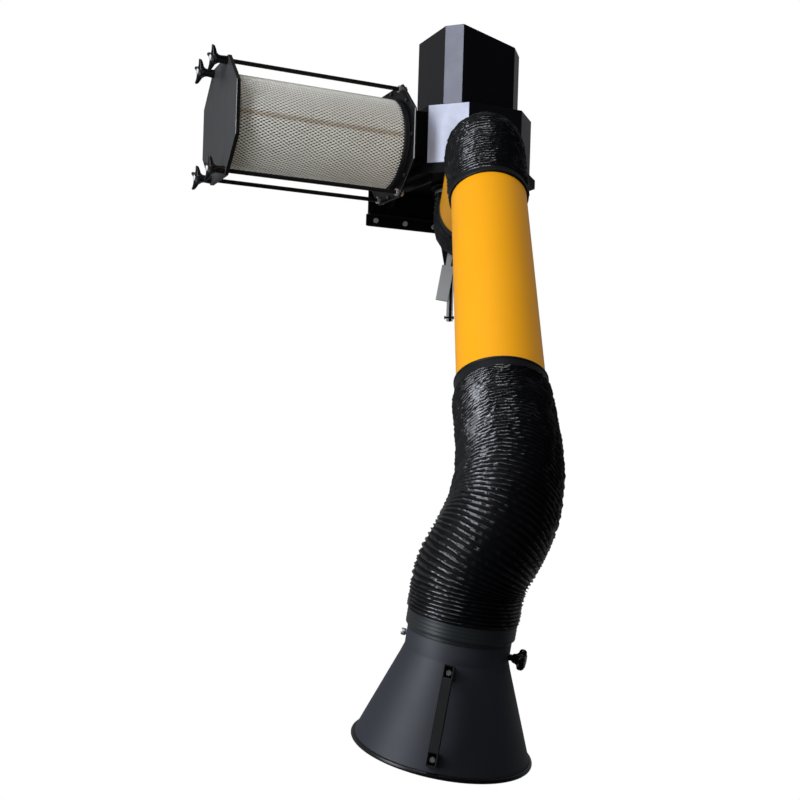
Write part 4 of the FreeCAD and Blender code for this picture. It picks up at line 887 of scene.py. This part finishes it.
PIVOT_DROP = 0.205
HOSE_TOP = 0.0706
BASE_TURN = 96.47
BASE_BEND = 0.100
base_tangent = BASE_BEND * math.tan(math.radians(BASE_TURN / 2))
base_route, base_length = bend_route(Vector((0.0, -0.2, -HOSE_TOP)), Vector((0, 0, -1)), OUTWARD,
                                     PIVOT_DROP - HOSE_TOP - base_tangent, BASE_BEND, BASE_TURN,
                                     UPPER_START + CUFF - base_tangent)
base_smooth = ((0.0, 0.018, 0.0), (base_length - 0.030, base_length, 0.0))
base_slant = (0.0, 0.0)
crinkled_hose("base_hose_skin", base_route, base_length, base_smooth, (0.0085, 0.0085), 1.0, 3.0,
              base_slant, "base_hose")
ELBOW_TURN = 53.87
ELBOW_BEND = 0.120
elbow_tangent = ELBOW_BEND * math.tan(math.radians(ELBOW_TURN / 2))
elbow_back = 0.1205 + CUFF
down_side = (LOWER_WAY - UPPER_WAY * UPPER_WAY.dot(LOWER_WAY)).normalized()
elbow_route, elbow_length = bend_route(ELBOW - UPPER_WAY * elbow_back, UPPER_WAY, down_side,
                                       elbow_back - elbow_tangent, ELBOW_BEND, ELBOW_TURN,
                                       LOWER_START + CUFF - elbow_tangent)
elbow_smooth = ((0.0, 0.026, 0.0), (elbow_length - 0.014, elbow_length, 0.0))
elbow_slant = (0.0, 0.016)
crinkled_hose("elbow_hose_skin", elbow_route, elbow_length, elbow_smooth, (0.0078, 0.0078), 1.1, 11.0,
              elbow_slant, "elbow_hose")
hood_joint, damper_joint = frame["joints"][7:9]
HOOD = Vector(hood_joint["pos_m"])
HOOD_UP = Vector(hood_joint["axis"]).normalized()
HOOD_OUT = (OUTWARD - HOOD_UP * OUTWARD.dot(HOOD_UP)).normalized()
HOOD_SIDE = HOOD_UP.cross(HOOD_OUT)
HEAD_TOP = 0.0865
RISING = LOWER_WAY.cross(ACROSS)
head_poles = [ELBOW + LOWER_WAY * LOWER_END, ELBOW + LOWER_WAY * (LOWER_END + 0.076),
              ELBOW + LOWER_WAY * (LOWER_END + 0.199) + ACROSS * 0.0035 + RISING * 0.0755,
              HOOD + HOOD_OUT * 0.016 + HOOD_SIDE * 0.071 + HOOD_UP * (HEAD_TOP + 0.098),
              HOOD + HOOD_UP * (HEAD_TOP + 0.0735), HOOD + HOOD_UP * HEAD_TOP]
head_route, head_length = sweep_route(head_poles, 0.032, 0.066)
head_smooth = ((0.0, 0.036, 0.0), (head_length - 0.024, head_length, 0.12))
head_slant = (0.021, 0.0)
crinkled_hose("head_hose_skin", head_route, head_length, head_smooth, (0.0106, 0.0056), 1.0, 23.0,
              head_slant, "head_hose")
clamp_black = paint("clamp_black", (0.003, 0.0035, 0.004, 1.0), 0.42, sheen=0.35)
clamp_pair("clamps_of_upper_tube",
           (hose_clamp("clamp_a", base_route, base_length, base_length - 0.012, base_slant),
            hose_clamp("clamp_b", elbow_route, elbow_length, 0.006, elbow_slant)),
           "upper_arm", "upper_hose_clamps")
clamp_pair("clamps_of_lower_tube",
           (hose_clamp("clamp_c", elbow_route, elbow_length, elbow_length - 0.0065, elbow_slant),
            hose_clamp("clamp_d", head_route, head_length, 0.0005, head_slant)),
           "lower_arm", "lower_hose_clamps")


# Head: a steel tube with two raised beads, sprayed dark grey. It carries the hose, and the hood
# turns on its lower end.
HOOD_PLACE = axis_frame(HOOD, HOOD_UP, -OUTWARD)
SEAM = 0.0145
INSIDE = 0.0785
BEAD_WIDTH = 0.005
BEAD_RISE = 0.0022
BEAD_STEPS = 7
head_paint = paint("head_charcoal", (0.012, 0.014, 0.015, 1.0), 0.42, sheen=0.5, peel=0.05, drift=0.1)


def bead(section, low):
    """A half-round bead on a straight wall, as points from its lower to its upper edge."""
    for step in range(BEAD_STEPS + 1):
        share = step / BEAD_STEPS
        section.append((TUBE + BEAD_RISE * math.sin(math.pi * share), low + BEAD_WIDTH * share))


collar_section = [(0.0765, SEAM - 0.008), (0.0778, SEAM - 0.008), (0.0778, SEAM + 0.0004),
                  (TUBE - 0.0006, SEAM + 0.0004), (TUBE, SEAM + 0.0010)]
bead(collar_section, SEAM + 0.020)
bead(collar_section, SEAM + 0.035)
collar_section += [(TUBE, SEAM + 0.0715), (TUBE - 0.0007, SEAM + 0.072), (INSIDE, SEAM + 0.072),
                   (INSIDE, SEAM + 0.002), (0.0765, SEAM + 0.002)]
head_tube = turn_round("head_tube", collar_section, HOOD_PLACE, 144)
finish_piece(head_tube, "head", "charcoal_paint", head_paint, "head_collar")


# Hood: a spun steel cone with a short collar and a rolled, trimmed rim. The cone is dark blue-grey,
# the rim black.
HOOD_HEIGHT = 0.146
HOOD_SPREAD = 0.056
HOOD_LOW = -SEAM - HOOD_HEIGHT
RIM_SIDES = 20
hood_paint = paint("hood_charcoal", (0.0150, 0.0170, 0.0250, 1.0), 0.54, sheen=0.6, peel=0.04,
                   drift=0.08)
rim_black = paint("rim_black", (0.004, 0.004, 0.005, 1.0), 0.3, sheen=0.5)
cone_section = [(INSIDE, SEAM - 0.0005), (TUBE - 0.0006, SEAM), (TUBE, SEAM - 0.0008),
                (TUBE, -SEAM + 0.002), (TUBE + 0.0004, -SEAM), (TUBE + 0.0012, -SEAM - 0.002)]
for step in range(1, 13):
    share = step / 12.0
    cone_section.append((TUBE + HOOD_SPREAD * share, -SEAM - HOOD_HEIGHT * share))
cone_section += [(0.134, HOOD_LOW), (TUBE, -SEAM - 0.0055), (INSIDE, -SEAM)]
cone_skin = turn_round("hood_skin", cone_section, HOOD_PLACE, 192)
finish_piece(cone_skin, "hood", "charcoal_paint", hood_paint, "hood_cone")
trim_section = []
for step in range(RIM_SIDES):
    angle = 2.0 * math.pi * step / RIM_SIDES
    trim_section.append((0.1365 + 0.0034 * math.cos(angle), HOOD_LOW - 0.0004 + 0.0036 * math.sin(angle)))
rolled_rim = turn_round("rolled_rim", trim_section, HOOD_PLACE, 192)
finish_piece(rolled_rim, "hood", "charcoal_trim", rim_black, "rim_trim")


# Handle and damper knob: moulded nylon in black, the handle held by two screws that sit in pockets
# at its ends, their heads painted white as a painted glint, the knob with five lobes on the spindle of the
# air damper.
SCREW_SECTION = ((NEAR_AXIS, 0.0), (0.0045, 0.0), (0.0045, 0.0085), (0.0036, 0.0098), (0.0022, 0.0101),
                 (0.0020, 0.0075), (NEAR_AXIS, 0.0072))
GRIP_SECTION = ((0.0048, 0.0, 0.0), (0.0048, 0.0045, 0.0), (0.0066, 0.0060, 0.0),
                (0.0080, 0.0110, 0.0), (0.0098, 0.0135, 0.05), (0.0128, 0.0150, 0.17),
                (0.0136, 0.0175, 0.22), (0.0136, 0.0222, 0.22), (0.0120, 0.0250, 0.18),
                (0.0060, 0.0262, 0.0), (0.0003, 0.0262, 0.0))
GRIP_SIDES = 80
GRIP_LOBES = 5
dress("handle", paint("handle_black", (0.009, 0.011, 0.010, 1.0), 0.42, sheen=0.45, peel=0.1), 0.0016)
screws = frame["nodes"]["handle_screws"]
screw_spots = [screws.matrix_world @ spot.co for spot in screws.data.vertices]
screw_level = sum(HOOD_UP.dot(spot) for spot in screw_spots) / len(screw_spots)
ends = []
for above in (True, False):
    group = [spot for spot in screw_spots if (HOOD_UP.dot(spot) > screw_level) == above]
    ends.append(sum(group, Vector()) / len(group))
grip_way = (ends[0] - ends[1]).normalized()
off_hood = grip_way.cross(HOOD_UP).cross(grip_way).normalized()
if off_hood.dot(ends[0] - HOOD) < 0.0:
    off_hood = -off_hood
for which, spot in zip(("upper", "lower"), ends):
    head = turn_round("handle_screw_" + which, SCREW_SECTION,
                      axis_frame(spot - off_hood * 0.001, off_hood), 28, False)
    finish_piece(head, "hood", "zinc_steel", glint_white_head, "handle_screws")
damper_low, damper_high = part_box("damper_knob")
damper_way = Vector(damper_joint["axis"]).normalized()
damper_middle = (Vector(damper_low) + Vector(damper_high)) / 2
if damper_way.dot(damper_middle - HOOD) < 0.0:
    damper_way = -damper_way
grip_place = axis_frame(damper_middle - damper_way * 0.0105, damper_way)
grip_verts = []
for radius, height, lobe in GRIP_SECTION:
    for side in range(GRIP_SIDES):
        angle = 2.0 * math.pi * side / GRIP_SIDES
        swell = radius * (1.0 + lobe * math.cos(GRIP_LOBES * angle))
        grip_verts.append(grip_place @ Vector((swell * math.cos(angle), swell * math.sin(angle), height)))
damper_grip = show("damper_grip", ring_mesh("damper_grip", grip_verts, len(GRIP_SECTION), GRIP_SIDES))
soften(damper_grip, 50)
finish_piece(damper_grip, "damper", "black_plastic", glossy_black, "damper_knob")
